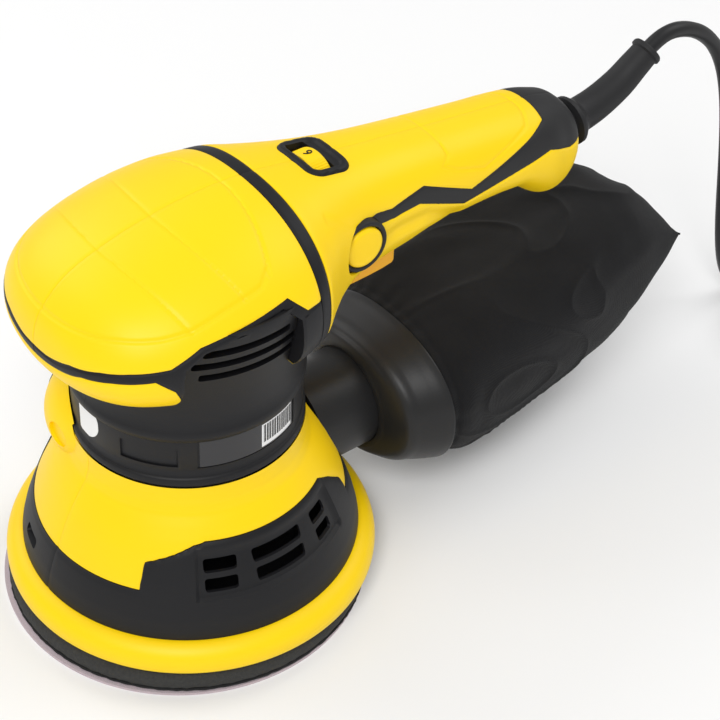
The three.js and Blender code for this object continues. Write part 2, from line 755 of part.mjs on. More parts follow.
const guardCurve = smooth([
  [0, 180, 142.6],
  [0, 197, 143.2],
  [0, 211, 145.8],
  [0, 224, 151.2],
  [0, 233, 157.4],
  [0, 241, 163],
]);
const guardRadius = (t) => (t < 0.16 ? 8.8 : 8.6 - 3.2 * t);
place('cord_guard', flexible(guardCurve, guardRadius, 12, 12), RUBBER);

const leadCurve = smooth([
  [0, 241.4, 163.3],
  [0, 246, 165.9],
  [0, 251, 167.3],
  [0, 258, 167],
  [0, 268, 163.6],
  [0.5, 277.5, 157.2],
  [1, 285.5, 148],
  [2, 291.5, 136],
  [3, 296, 119],
  [4, 299, 99],
  [5.5, 301, 76],
  [7, 303, 50],
  [8.2, 306, 28],
  [8.9, 311, 13],
  [9, 318.6, 5.6],
]);
place('lead', tubeAlong(leadCurve, CORD_R, 24), RUBBER);

// The rest of the lead is stored as a round coil of six turns with the plug on top of it.
const COIL = { x: 54.5, y: 345, inner: 27.7, outer: 49.3, top: 21.3 };
const coil = ring(COIL.outer, COIL.inner, 0, COIL.top, 32).translate([COIL.x, COIL.y, 0]);
place('lead_coil', coil, RUBBER);

const plugForm = new THREE.CylinderGeometry(17, 18, 14, 20);
plugForm.rotateX(Math.PI / 2);
const plugTail = alongY(rod(5.5, -26, 0, 12), 0, 0, 0);
const plugPins = [-9.5, 9.5].map((x) => alongY(rod(2.4, 10, 35, 10), x, 0, 0));
const plugBody = plugPins.reduce((body, pin) => body.add(pin), solid(plugForm).add(plugTail));
place('plug', plugBody.translate([COIL.x - 28, COIL.y + 26, COIL.top + GAP + 7]), BLACK);

export default sander;
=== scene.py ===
import math

import bmesh
import bpy
import numpy as np
from mathutils import Matrix, Vector, noise


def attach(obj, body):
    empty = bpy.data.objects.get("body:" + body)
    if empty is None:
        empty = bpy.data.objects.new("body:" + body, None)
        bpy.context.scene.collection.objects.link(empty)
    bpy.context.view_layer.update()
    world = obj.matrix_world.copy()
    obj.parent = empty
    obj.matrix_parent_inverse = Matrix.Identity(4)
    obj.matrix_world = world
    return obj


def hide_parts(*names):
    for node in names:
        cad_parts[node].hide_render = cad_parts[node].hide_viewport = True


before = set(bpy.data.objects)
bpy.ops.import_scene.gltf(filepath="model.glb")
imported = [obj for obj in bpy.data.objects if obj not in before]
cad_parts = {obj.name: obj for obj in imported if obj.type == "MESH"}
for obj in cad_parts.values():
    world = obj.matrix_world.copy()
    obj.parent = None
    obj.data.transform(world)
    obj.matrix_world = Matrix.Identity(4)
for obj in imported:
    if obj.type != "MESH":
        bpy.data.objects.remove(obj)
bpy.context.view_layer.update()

# ---------------------------------------------------------------- camera
# A long lens looks down on the nose of the sander from its front right, with the
# view rolled by a couple of degrees.

MM = 0.001

azimuth, elevation, roll = (math.radians(angle) for angle in (50.26, 40.28, 2.37))
back = Vector((
    math.sin(azimuth) * math.cos(elevation),
    -math.cos(azimuth) * math.cos(elevation),
    math.sin(elevation),
))
right = Vector((math.cos(azimuth), math.sin(azimuth), 0))
up = back.cross(right)
across = right * math.cos(roll) + up * math.sin(roll)
upward = up * math.cos(roll) - right * math.sin(roll)

lens = bpy.data.cameras.new("camera")
lens.lens = 100
lens.sensor_width = 36
lens.clip_start = 0.05
camera = bpy.data.objects.new("camera", lens)
camera.matrix_world = Matrix((across, upward, back)).transposed().to_4x4()
camera.location = (0.4968, -0.3256, 0.6121)
bpy.context.scene.collection.objects.link(camera)
bpy.context.scene.camera = camera

# ---------------------------------------------------------------- mains lead
# A black PVC sheathed lead. It curves out of its guard, drops behind the sander and
# is put away in a round coil, seven turns in three layers, with the plug on top.


class Signal:
    """A number that varies over a surface, so that shader sums read as plain sums."""

    def __init__(self, paint, socket):
        self.paint = paint
        self.socket = socket

    def join(self, operation, first, second):
        return self.paint.node("ShaderNodeMath", {"operation": operation}, {0: first, 1: second})

    def __add__(self, other):
        return self.join("ADD", self, other)

    def __radd__(self, other):
        return self.join("ADD", other, self)

    def __mul__(self, other):
        return self.join("MULTIPLY", self, other)

    def __rmul__(self, other):
        return self.join("MULTIPLY", other, self)


class Paint:
    """A material: fixed values on its shader, and nodes where something varies."""

    def __init__(self, name, colour, roughness, **fixed):
        self.material = bpy.data.materials.new(name)
        self.material.use_nodes = True
        self.tree = self.material.node_tree
        self.shader = next(n for n in self.tree.nodes if n.type == "BSDF_PRINCIPLED")
        self.set("Base Color", (*colour, 1))
        self.set("Roughness", roughness)
        for socket, value in fixed.items():
            self.set(socket.replace("_", " ").title().replace("Ior", "IOR"), value)
        self.spot = self.node("ShaderNodeTexCoord", out="Object")

    def feed(self, socket, value):
        if isinstance(value, Signal):
            self.tree.links.new(value.socket, socket)
        else:
            socket.default_value = value

    def set(self, socket, value):
        self.feed(self.shader.inputs[socket], value)

    def node(self, kind, settings=None, sockets=None, out=0):
        made = self.tree.nodes.new(kind)
        for key, value in (settings or {}).items():
            setattr(made, key, value)
        for key, value in (sockets or {}).items():
            self.feed(made.inputs[key], value)
        return Signal(self, made.outputs[out])

    def grain(self, scale, detail=2.0, rough=0.5):
        values = {"Vector": self.spot, "Scale": scale, "Detail": detail, "Roughness": rough}
        return self.node("ShaderNodeTexNoise", {}, values)

    def mixed(self, factor, first, second):
        values = {0: factor, 6: (*first, 1), 7: (*second, 1)}
        return self.node("ShaderNodeMix", {"data_type": "RGBA"}, values, out=2)

    def wave(self, direction, scale, distortion=0.0):
        values = {"Vector": self.spot, "Scale": scale, "Distortion": distortion}
        return self.node("ShaderNodeTexWave", {"bands_direction": direction}, values)

    def bumped(self, height, depth, strength=1.0):
        values = {"Strength": strength, "Distance": depth, "Height": height}
        self.set("Normal", self.node("ShaderNodeBump", {}, values))


def moulded(name, colour, shade, roughness, grain_depth, grain_scale=1500):
    """Moulded plastic: a fine eroded grain, and gloss that changes a little."""
    paint = Paint(name, colour, roughness, specular_ior_level=0.3)
    cloud = paint.grain(28, 3)
    paint.set("Base Color", paint.mixed(cloud, colour, shade))
    paint.set("Roughness", roughness - 0.06 + cloud * 0.12)
    paint.bumped(paint.grain(grain_scale, 2), grain_depth)
    return paint.material


def finished(thing, material, body, slot, *nodes):
    """Gives a piece its material, the body it moves with and the nodes it stands for."""
    thing.data.materials.clear()
    thing.data.materials.append(material)
    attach(thing, body)
    if nodes:
        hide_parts(*nodes)
    return thing


sheath = moulded("lead_sheath", (0.011, 0.011, 0.012), (0.018, 0.018, 0.019), 0.42, 0.00001, 900)

LEAD_R = 3.5
GUARD_TIP = (0, 241.4, 163.3)
COIL_X, COIL_Y = 54.5, 345
LAYERS = 3.6, 10.7, 17.8
FREE_RUN = [
    GUARD_TIP, (0, 246, 165.9), (0, 251, 167.3), (0, 258, 167), (0, 268, 163.6),
    (0.5, 277.5, 157.2), (1, 285.5, 148), (2, 291.5, 136), (3, 296, 119), (4, 299, 99),
    (5.5, 301, 76), (7, 303, 50), (8.2, 306.5, 28), (8.9, 312.5, 13), (9, 322, 5.2),
    (9, 334, 3.7),
]


def coil_place(turns):
    """Where the lead is after so many turns: in, up, out, up, and in again."""
    if turns < 2.25:
        radius = 45.5 - 7 * turns
    elif turns < 4.25:
        radius = 29.75 + 7 * (turns - 2.25)
    elif turns < 4.5:
        radius = 43.75 + 7 * (turns - 4.25)
    else:
        radius = 45.5 - 7 * (turns - 4.5)
    height = LAYERS[0]
    height += (LAYERS[1] - LAYERS[0]) * eased((turns - 2) / 0.25)
    height += (LAYERS[2] - LAYERS[1]) * eased((turns - 4.25) / 0.25)
    height += (28.6 - LAYERS[2]) * eased((turns - 6.6) / 0.4)
    angle = turns * 2 * math.pi
    return (COIL_X - radius * math.cos(angle), COIL_Y + radius * math.sin(angle), height)


def eased(x):
    x = min(max(x, 0), 1)
    return x * x * (3 - 2 * x)


def path_curve(name, places, radius):
    shape = bpy.data.curves.new(name, "CURVE")
    shape.dimensions = "3D"
    shape.bevel_depth = radius * MM
    shape.bevel_resolution = 4
    shape.use_fill_caps = True
    shape.resolution_u = 6
    spline = shape.splines.new("NURBS")
    spline.points.add(len(places) - 1)
    for point, place in zip(spline.points, places):
        point.co = (*(v * MM for v in place), 1)
    spline.order_u = 4
    spline.use_endpoint_u = True
    made = bpy.data.objects.new(name, shape)
    bpy.context.scene.collection.objects.link(made)
    return made


STEPS_PER_TURN = 20
coil_run = [coil_place(i / STEPS_PER_TURN) for i in range(7 * STEPS_PER_TURN + 1)]
lead = path_curve("mains_lead", FREE_RUN + coil_run, LEAD_R)
finished(lead, sheath, "housing", "lead_sheath", "lead", "lead_coil")

# ---------------------------------------------------------------- plug
# A moulded two-pin plug with a round flat body and a short ribbed tail. It is cast in
# black PVC round its pins and the end of the lead.


def bmesh_object(name, mesh):
    """Closes the bmesh and makes it an object at the origin."""
    bmesh.ops.recalc_face_normals(mesh, faces=mesh.faces[:])
    data = bpy.data.meshes.new(name)
    mesh.to_mesh(data)
    mesh.free()
    made = bpy.data.objects.new(name, data)
    bpy.context.scene.collection.objects.link(made)
    return made


def smooth(thing, angle=35):
    data = thing.data
    data.polygons.foreach_set("use_smooth", [True] * len(data.polygons))
    data.set_sharp_from_angle(angle=math.radians(angle))
    return thing


def turned(name, profile, steps=96, axis=(0, 0, 1), at=(0, 0, 0)):
    """A profile of [radius, height] points spun about an axis through a point."""
    mesh = bmesh.new()
    verts = [mesh.verts.new((r * MM, 0, z * MM)) for r, z in profile]
    closed = profile[0] == profile[-1]
    if closed:
        mesh.verts.remove(verts.pop())
    edges = [mesh.edges.new(pair) for pair in zip(verts, verts[1:])]
    if closed:
        edges.append(mesh.edges.new((verts[-1], verts[0])))
    bmesh.ops.spin(
        mesh, geom=verts + edges, axis=(0, 0, 1), cent=(0, 0, 0), angle=2 * math.pi,
        steps=steps, use_merge=True,
    )
    bmesh.ops.remove_doubles(mesh, verts=mesh.verts[:], dist=1e-7)
    turn = Vector((0, 0, 1)).rotation_difference(Vector(axis)).to_matrix()
    bmesh.ops.rotate(mesh, verts=mesh.verts[:], cent=(0, 0, 0), matrix=turn)
    bmesh.ops.translate(mesh, verts=mesh.verts[:], vec=Vector(at) * MM)
    return bmesh_object(name, mesh)


def rod(radius, start, end, steps, axis=(0, 0, 1), at=(0, 0, 0), name="tool"):
    """A plain round bar between two distances along its axis."""
    return turned(name, [(0, start), (radius, start), (radius, end), (0, end)], steps, axis, at)


def carve(target, tool, operation="DIFFERENCE", keep=False):
    """Cuts, joins or keeps what is common, and takes the result as the mesh."""
    change = target.modifiers.new("carve", "BOOLEAN")
    change.operation = operation
    change.solver = "MANIFOLD"
    change.object = tool
    graph = bpy.context.evaluated_depsgraph_get()
    made = bpy.data.meshes.new_from_object(target.evaluated_get(graph))
    target.modifiers.clear()
    target.data = made
    if not keep:
        bpy.data.objects.remove(tool)
    return target


def rounded_block(name, low, high, radius=0.0, segments=3):
    """A box between two corners, its edges rounded."""
    mesh = bmesh.new()
    bmesh.ops.create_cube(mesh, size=1)
    size = Vector(high) - Vector(low)
    bmesh.ops.scale(mesh, verts=mesh.verts[:], vec=size * MM)
    bmesh.ops.translate(mesh, verts=mesh.verts[:], vec=(Vector(low) + size / 2) * MM)
    if radius:
        bmesh.ops.bevel(
            mesh, geom=mesh.edges[:], offset=radius * MM, segments=segments, affect="EDGES",
            profile=0.5, material=-1,
        )
    return bmesh_object(name, mesh)


PLUG = Vector((COIL_X - 28, COIL_Y + 26, 28.6))
plug_body = turned("plug_moulding", [
    (0, -7), (15.5, -7), (17.2, -5.5), (17.5, 0), (17.2, 5.5), (15.5, 7), (0, 7),
], 72, at=PLUG)
plug_tail = turned("plug_tail", [
    (0, -26), (4.6, -26), (4.9, -24.8), (4.9, -23.2), (4.2, -22.6), (4.3, -21.2), (5.2, -20.8),
    (5.3, -18.8), (4.5, -18.2), (4.6, -16.8), (5.8, -16.2), (6, -10), (0, -10),
], 40, (0, 1, 0), PLUG)
carve(plug_body, plug_tail, "UNION")
for pin_x in (-9.5, 9.5):
    pin_at = PLUG + Vector((pin_x, 0, 0))
    pin = turned("pin", [(0, 12), (2, 12), (2, 33.5), (1, 35), (0, 35)], 24, (0, 1, 0), pin_at)
    pin.name = f"plug_pin_{'left' if pin_x < 0 else 'right'}"
    smooth(pin)
    finished(pin, Paint(pin.name, (0.62, 0.6, 0.56), 0.25, metallic=1.0).material, "housing", "steel")
    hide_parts("plug")
smooth(plug_body)
finished(plug_body, sheath, "housing", "black_plastic", "plug")

# ---------------------------------------------------------------- cord guard
# A soft black sleeve, thick where it leaves the handle and thinner towards a raised
# lip at its tip. It is moulded onto the lead and held by the handle's end.

GUARD_LINE = [
    (0, 186, 142.7), (0, 197, 143.2), (0, 211, 145.8), (0, 224, 151.2), (0, 233, 157.4),
    (0, 241, 163),
]


def curve_through(places, count):
    """Points along a smooth curve through the places, in mm."""
    ends = [Vector(p) for p in places]
    ends = [ends[0] * 2 - ends[1], *ends, ends[-1] * 2 - ends[-2]]
    found = []
    for i in range(count + 1):
        t = i / count * (len(places) - 1)
        k = min(int(t), len(places) - 2)
        f = t - k
        a, b, c, d = ends[k:k + 4]
        found.append(
            (b * 2 + (c - a) * f + (a * 2 - b * 5 + c * 4 - d) * f * f
             + (b * 3 - a - c * 3 + d) * f * f * f) / 2
        )
    return found


def sleeve(name, places, radii, sides=32):
    """A round bar through the places, each with its own radius."""
    mesh = bmesh.new()
    rings = []
    for i, place in enumerate(places):
        ahead = places[min(i + 1, len(places) - 1)] - places[max(i - 1, 0)]
        ring = bmesh.ops.create_circle(mesh, cap_ends=False, segments=sides, radius=radii[i] * MM)["verts"]
        turn = Vector((0, 0, 1)).rotation_difference(ahead).to_matrix()
        bmesh.ops.rotate(mesh, verts=ring, cent=(0, 0, 0), matrix=turn)
        bmesh.ops.translate(mesh, verts=ring, vec=place * MM)
        rings.append(ring)
    mesh.verts.ensure_lookup_table()
    for first, second in zip(rings, rings[1:]):
        edges = [
            e for ring in (first, second)
            for e in {e for v in ring for e in v.link_edges if e.other_vert(v) in ring}
        ]
        bmesh.ops.bridge_loops(mesh, edges=list(dict.fromkeys(edges)))
    bmesh.ops.holes_fill(mesh, edges=[e for e in mesh.edges if e.is_boundary])
    return bmesh_object(name, mesh)


GUARD_STEPS = 64
GUARD_BASE_R, GUARD_TAPER = 8.4, 2.3
FLANGE_START, FLANGE_END, FLANGE_HEIGHT = 0.175, 0.27, 3
LIP_START, LIP_HEIGHT = 0.94, 1.0
guard_places = curve_through(GUARD_LINE, GUARD_STEPS)
guard_radii = []
for step in range(GUARD_STEPS + 1):
    t = step / GUARD_STEPS
    radius = GUARD_BASE_R - GUARD_TAPER * t
    if FLANGE_START < t < FLANGE_END:
        radius += FLANGE_HEIGHT * min(1, (FLANGE_END - t) / 0.05)
    if t > LIP_START:
        radius += LIP_HEIGHT
    if t > 0.985:
        radius -= 0.5
    guard_radii.append(radius)
soft_black = moulded("soft_black", (0.013, 0.013, 0.014), (0.02, 0.02, 0.021), 0.55, 0.000015, 1200)
guard = smooth(sleeve("strain_relief", guard_places, guard_radii), 45)
finished(guard, soft_black, "housing", "soft_rubber", "cord_guard")

# ---------------------------------------------------------------- head, loop and handle
# The upper shell is moulded in two ABS halves that meet on the centre line. It runs
# from the dome over the motor along the handle to the hooked end around the lead.

UPPER = [
    (-65.3, 0, 148.5, 148.4, 148.3, 2.1), (-64.5, 12, 155, 148.4, 141.5, 2.1),
    (-62.5, 22.5, 160.5, 148.3, 137.5, 2.15), (-58, 33, 166.5, 148.2, 133, 2.2),
    (-50, 42.5, 173, 148, 128.5, 2.2), (-36, 50.5, 178.6, 147.8, 124.5, 2.2),
    (-18, 55, 183, 147.3, 121, 2.2), (0, 56.5, 185.4, 147, 118.5, 2.2),
    (14, 55.5, 186, 147, 118, 2.2), (26, 52.5, 185.5, 147.5, 118.5, 2.2),
    (32, 49.5, 185, 148, 119, 2.3), (40, 43, 183.7, 149, 121.5, 2.4),
    (50, 35.5, 182, 150, 125.5, 2.6), (62, 29.5, 180.2, 151, 129, 2.7),
    (78, 25.5, 177.8, 151, 130, 2.7), (95, 23.5, 175.5, 151, 131, 2.6),
    (104, 22.8, 174.2, 151, 133, 2.6), (125, 22, 171.4, 150, 133.4, 2.5),
    (148, 21.5, 168.6, 147.5, 133.2, 2.4), (157, 21.5, 167.5, 146.5, 131.8, 2.4),
    (163, 21.3, 166.8, 145.5, 127, 2.35), (172, 20.5, 165.7, 144, 120.3, 2.3),
    (179, 18.8, 163.8, 141, 118.9, 2.35), (184, 17.6, 161.8, 140.6, 121.4, 2.35),
    (187.6, 16, 158.8, 140.8, 126, 2.3), (190.4, 12.4, 154, 141.6, 131.5, 2.2),
    (191.6, 0, 142.7, 142.6, 142.5, 2.1),
]
HEAD_FLOOR = 132


def hermite(values, slopes, k, gap, f):
    """The smooth curve's value at a fraction of the gap after one knot."""
    return (
        (1 + 2 * f) * (1 - f) ** 2 * values[k] + f * (1 - f) ** 2 * gap * slopes[k]
        + f * f * (3 - 2 * f) * values[k + 1] + f * f * (f - 1) * gap * slopes[k + 1]
    )


def blended(rows):
    """The rows as one smooth function of Y, rounded off at both ends."""
    start, end = rows[0][0], rows[-1][0]

    def warp(y):
        return math.acos(1 - 2 * min(max((y - start) / (end - start), 0), 1))

    knots = np.array([warp(row[0]) for row in rows])
    values = np.array([row[1:] for row in rows])
    slopes = np.gradient(values, knots, axis=0)

    def at(y):
        t = warp(y)
        k = min(max(int(np.searchsorted(knots, t)) - 1, 0), len(knots) - 2)
        gap = knots[k + 1] - knots[k]
        f = (t - knots[k]) / gap
        return hermite(values, slopes, k, gap, f)

    return at


def spaced(section_at, start, end, count):
    """Places along Y that lie evenly along the surface."""
    fine = np.linspace(0, math.pi, 1600)
    ys = start + (end - start) * (1 - np.cos(fine)) / 2
    rows = np.array([section_at(y)[:2] for y in ys])
    steps = np.hypot(np.hypot(np.diff(ys), np.diff(rows[:, 0])), np.diff(rows[:, 1]))
    along = np.concatenate(([0], np.cumsum(steps)))
    return np.interp(np.linspace(0, along[-1], count + 1), along, ys)


def lofted(name, section_at, ys, sides, inset=0.0):
    """A closed body through the sections at these places."""
    mesh = bmesh.new()
    rows = len(ys) - 1
    bmesh.ops.create_grid(mesh, x_segments=sides, y_segments=rows, size=0.5)
    sections = [section_at(y) for y in ys]
    unit = []
    for i in range(sides + 1):
        angle = 2 * math.pi * (i % sides) / sides
        unit.append((math.cos(angle), math.sin(angle)))
    middle = (ys[0] + ys[-1]) / 2
    growth = 1 - 2 * inset / (ys[-1] - ys[0])
    for vert in mesh.verts:
        row = round((vert.co.y + 0.5) * rows)
        c, s = unit[round((vert.co.x + 0.5) * sides)]
        width, top, mid, foot, square = sections[row][:5]
        side = sections[row][5] if len(sections[row]) > 5 else 0
        width = max(width - inset, 0.01)
        height = max((top - mid if s > 0 else mid - foot) - inset, 0.01)
        x = side + width * math.copysign(abs(c) ** (2 / square), c)
        z = mid + height * math.copysign(abs(s) ** (2 / square), s)
        vert.co = (x * MM, (middle + (ys[row] - middle) * growth) * MM, z * MM)
    bmesh.ops.remove_doubles(mesh, verts=mesh.verts[:], dist=2e-6)
    bmesh.ops.holes_fill(mesh, edges=[e for e in mesh.edges if e.is_boundary])
    return bmesh_object(name, mesh)


def points_and_normals(thing):
    data = thing.data
    points = np.empty(len(data.vertices) * 3)
    data.vertices.foreach_get("co", points)
    normals = np.empty(len(data.vertices) * 3)
    data.vertices.foreach_get("normal", normals)
    return points.reshape(-1, 3) / MM, normals.reshape(-1, 3)


def raised(thing, heights):
    """Moves each point along its normal by its own height, in mm."""
    points, normals = points_and_normals(thing)
    moved = (points + normals * heights[:, None]) * MM
    thing.data.vertices.foreach_set("co", moved.ravel())
    thing.data.update()
    return thing


def distance_to(points, line, closed=False):
    """How far each flat point is from a line through several places."""
    line = np.array(line, float)
    pairs = list(zip(line, line[1:]))
    if closed:
        pairs.append((line[-1], line[0]))
    nearest = np.full(len(points), 1e9)
    for a, b in pairs:
        edge = b - a
        t = np.clip((points - a) @ edge / (edge @ edge), 0, 1)
        nearest = np.minimum(nearest, np.linalg.norm(points - a - t[:, None] * edge, axis=1))
    return nearest


def groove(distance, half_width, depth):
    """A soft-edged groove of this half width."""
    f = np.clip(1 - distance / half_width, 0, 1)
    return -depth * f * f * (3 - 2 * f)


NOSE_BAND = [
    (-80, 143.2), (-64.8, 143.8), (-61.3, 148.2), (-55.5, 150), (-43.5, 151.4), (-37.3, 146),
    (-34, 139), (-31, 139), (-30, 152), (-24, 155), (6, 159), (12, 152), (15, 132.2), (40, 132.2),
    (40, 158), (18.5, 158.6), (11, 166), (-26.4, 161), (-34.9, 157.2), (-38, 155.7),
    (-50.4, 154.6), (-57.5, 153.3), (-62.7, 151), (-64.8, 148), (-80, 148),
]
INLET = [
    (-34.5, 90), (-34.5, 149), (-33.4, 154), (-25.5, 158.6), (8, 163.6), (14.5, 157),
    (15, 156.6), (15, 90),
]
INLET_POST = [(15.1, 132.2), (25.8, 132.2), (25.8, 157.6), (18, 157.6), (15.1, 157)]
GRIP_STRIP = [
    (67, 162.5), (71.5, 163), (80.4, 160.8), (98.1, 162.6), (123.5, 150.8), (167.5, 162.3), (169, 195),
    (215, 195), (215, 146), (181, 146), (167.5, 151.2), (120.5, 144.8), (95.3, 156.2),
    (81.5, 156.2), (74.5, 157.4), (71, 156.5),
]
LOOP_FRONT, LOOP_REAR = 26, 32
BUTTON = Vector((28, 62.5, 153.5))
BUTTON_HOLE_R = 11.4
GUARD_HOLE_R, GUARD_HOLE_Z = 9.4, 142.8
SEAM = 0.04
SIDES = ("left", -1), ("right", 1)


def grown(outline, by):
    """The outline moved outwards all round, or inwards where by is negative."""
    points = [Vector(p) for p in outline]
    area = sum(a.x * b.y - b.x * a.y for a, b in zip(points, points[1:] + points[:1]))
    sign = 1 if area > 0 else -1
    moved = []
    for i, point in enumerate(points):
        arrive = (point - points[i - 1]).normalized()
        leave = (points[(i + 1) % len(points)] - point).normalized()
        first, second = Vector((arrive.y, -arrive.x)), Vector((leave.y, -leave.x))
        moved.append(point + (first + second) * (sign * by / (1 + first.dot(second))))
    return [tuple(p) for p in moved]


def side_prism(name, outline, x0, x1):
    """An outline in Y and Z, pushed through from x0 to x1."""
    mesh = bmesh.new()
    verts = [mesh.verts.new((x0 * MM, y * MM, z * MM)) for y, z in outline]
    face = mesh.faces.new(verts)
    pushed = bmesh.ops.extrude_face_region(mesh, geom=[face])["geom"]
    moved = [g for g in pushed if isinstance(g, bmesh.types.BMVert)]
    bmesh.ops.translate(mesh, verts=moved, vec=((x1 - x0) * MM, 0, 0))
    bmesh.ops.triangulate(mesh, faces=mesh.faces[:])
    return bmesh_object(name, mesh)


def copied(thing, name):
    made = bpy.data.objects.new(name, thing.data.copy())
    bpy.context.scene.collection.objects.link(made)
    return made


BEZEL_Y, BEZEL_HALF, BEZEL_CORNER = 60, (13.4, 10), 6


def dial_prism(name, by, z0, z1):
    """The dial surround's outline, grown all round, as an upright prism."""
    corner = BEZEL_CORNER + by
    outline = []
    for quarter in range(4):
        angle = quarter * math.pi / 2
        middle = Vector((
            (1, -1, -1, 1)[quarter] * (BEZEL_HALF[0] - BEZEL_CORNER),
            (1, 1, -1, -1)[quarter] * (BEZEL_HALF[1] - BEZEL_CORNER) + BEZEL_Y,
        ))
        outline += [
            middle + corner * Vector((math.cos(angle + i * math.pi / 20), math.sin(angle + i * math.pi / 20)))
            for i in range(11)
        ]
    mesh = bmesh.new()
    face = mesh.faces.new([mesh.verts.new((p.x * MM, p.y * MM, z0 * MM)) for p in outline])
    pushed = bmesh.ops.extrude_face_region(mesh, geom=[face])["geom"]
    lifted = [g for g in pushed if isinstance(g, bmesh.types.BMVert)]
    bmesh.ops.translate(mesh, verts=lifted, vec=(0, 0, (z1 - z0) * MM))
    bmesh.ops.triangulate(mesh, faces=mesh.faces[:])
    return bmesh_object(name, mesh)


section_at = blended(UPPER)
head_form = lofted("head_form", section_at, spaced(section_at, -65.3, 34, 190), 420)
handle_form = lofted("handle_form", section_at, spaced(section_at, 25, 191.6, 270), 260)
head_wall = lofted("head_wall", section_at, spaced(section_at, -65.3, 60, 60), 96, 2.4)
handle_wall = lofted("handle_wall", section_at, spaced(section_at, 10, 191.6, 90), 96, 2.4)

# The dome's top is divided by shallow grooves that run round it and across it.
points, normals = points_and_normals(head_form)
sides_yz = np.stack([points[:, 1], points[:, 2]], axis=1)
far = np.full(len(points), 1e9)
PANEL_SIDE = [
    (-66, 161.6), (-60, 163.4), (-50, 164.8), (-38, 165.2), (-27, 166.4), (-12.7, 169.5),
    (3.1, 172), (8, 175),
]
side_line = distance_to(sides_yz, PANEL_SIDE)
bow = (points[:, 0] / 43) ** 2
rear_line = np.where(points[:, 2] > 173.5, np.abs(points[:, 1] - 17.5 + 9.5 * bow), far)
cross_lines = [
    np.where(points[:, 2] > level, np.abs(points[:, 1] - place + 7.6 * bow * lean), far)
    for place, level, lean in ((-36.4, 165.6, -1), (-13.6, 169.8, -1))
]
heights = groove(side_line, 1.0, 0.5) + groove(rear_line, 1.0, 0.5)
for line in cross_lines:
    heights += groove(line, 1.0, 0.4)
heights += groove(np.abs(points[:, 0]), 0.6, 0.22)
heights += groove(distance_to(sides_yz, grown(NOSE_BAND, 0), True), 0.9, 0.35)
heights += groove(distance_to(sides_yz, INLET, True), 0.9, 0.4)
heights += groove(np.abs(points[:, 1] - LOOP_FRONT), 0.9, 0.4)
raised(head_form, heights)

# The handle's top has one panel outlined by a groove, and a scoop under the strip.
points, normals = points_and_normals(handle_form)
sides_yz = np.stack([points[:, 1], points[:, 2]], axis=1)
PANEL_FRONT = [
    (113, 175), (114, 168), (110, 165.6), (117, 162), (130.6, 157.6), (157.6, 163.6), (164, 169),
]
heights = groove(distance_to(sides_yz, PANEL_FRONT), 0.9, 0.4)
heights += groove(np.abs(points[:, 0]), 0.6, 0.2)
heights += groove(distance_to(sides_yz, GRIP_STRIP, True), 0.9, 0.35)
heights += groove(np.abs(points[:, 1] - LOOP_FRONT), 0.9, 0.4)
heights += groove(np.abs(points[:, 1] - LOOP_REAR), 0.9, 0.4)
SCOOP = [(66, 146), (84, 149), (100, 148), (118, 140)]
heights += groove(distance_to(sides_yz, SCOOP), 5.5, 1.1)
heights += groove(distance_to(sides_yz, [(44, 175), (58, 166), (70, 150)]), 2.2, 0.35)
raised(handle_form, heights)


def bored(part, sign):
    """Opens the hole for the lead's guard and, on the right, the one for the button."""
    carve(part, rod(GUARD_HOLE_R, 170, 210, 48, (0, 1, 0), (0, 0, GUARD_HOLE_Z)))
    if sign > 0:
        carve(part, rod(BUTTON_HOLE_R, -14, 20, 96, (1, 0, 0), BUTTON))


yellow = moulded("yellow_abs", (0.99, 0.675, 0.0), (0.96, 0.635, 0.0), 0.44, 0.000012, 1300)
black = moulded("black_abs", (0.0045, 0.0045, 0.0058), (0.0075, 0.0075, 0.009), 0.5, 0.00003, 1100)

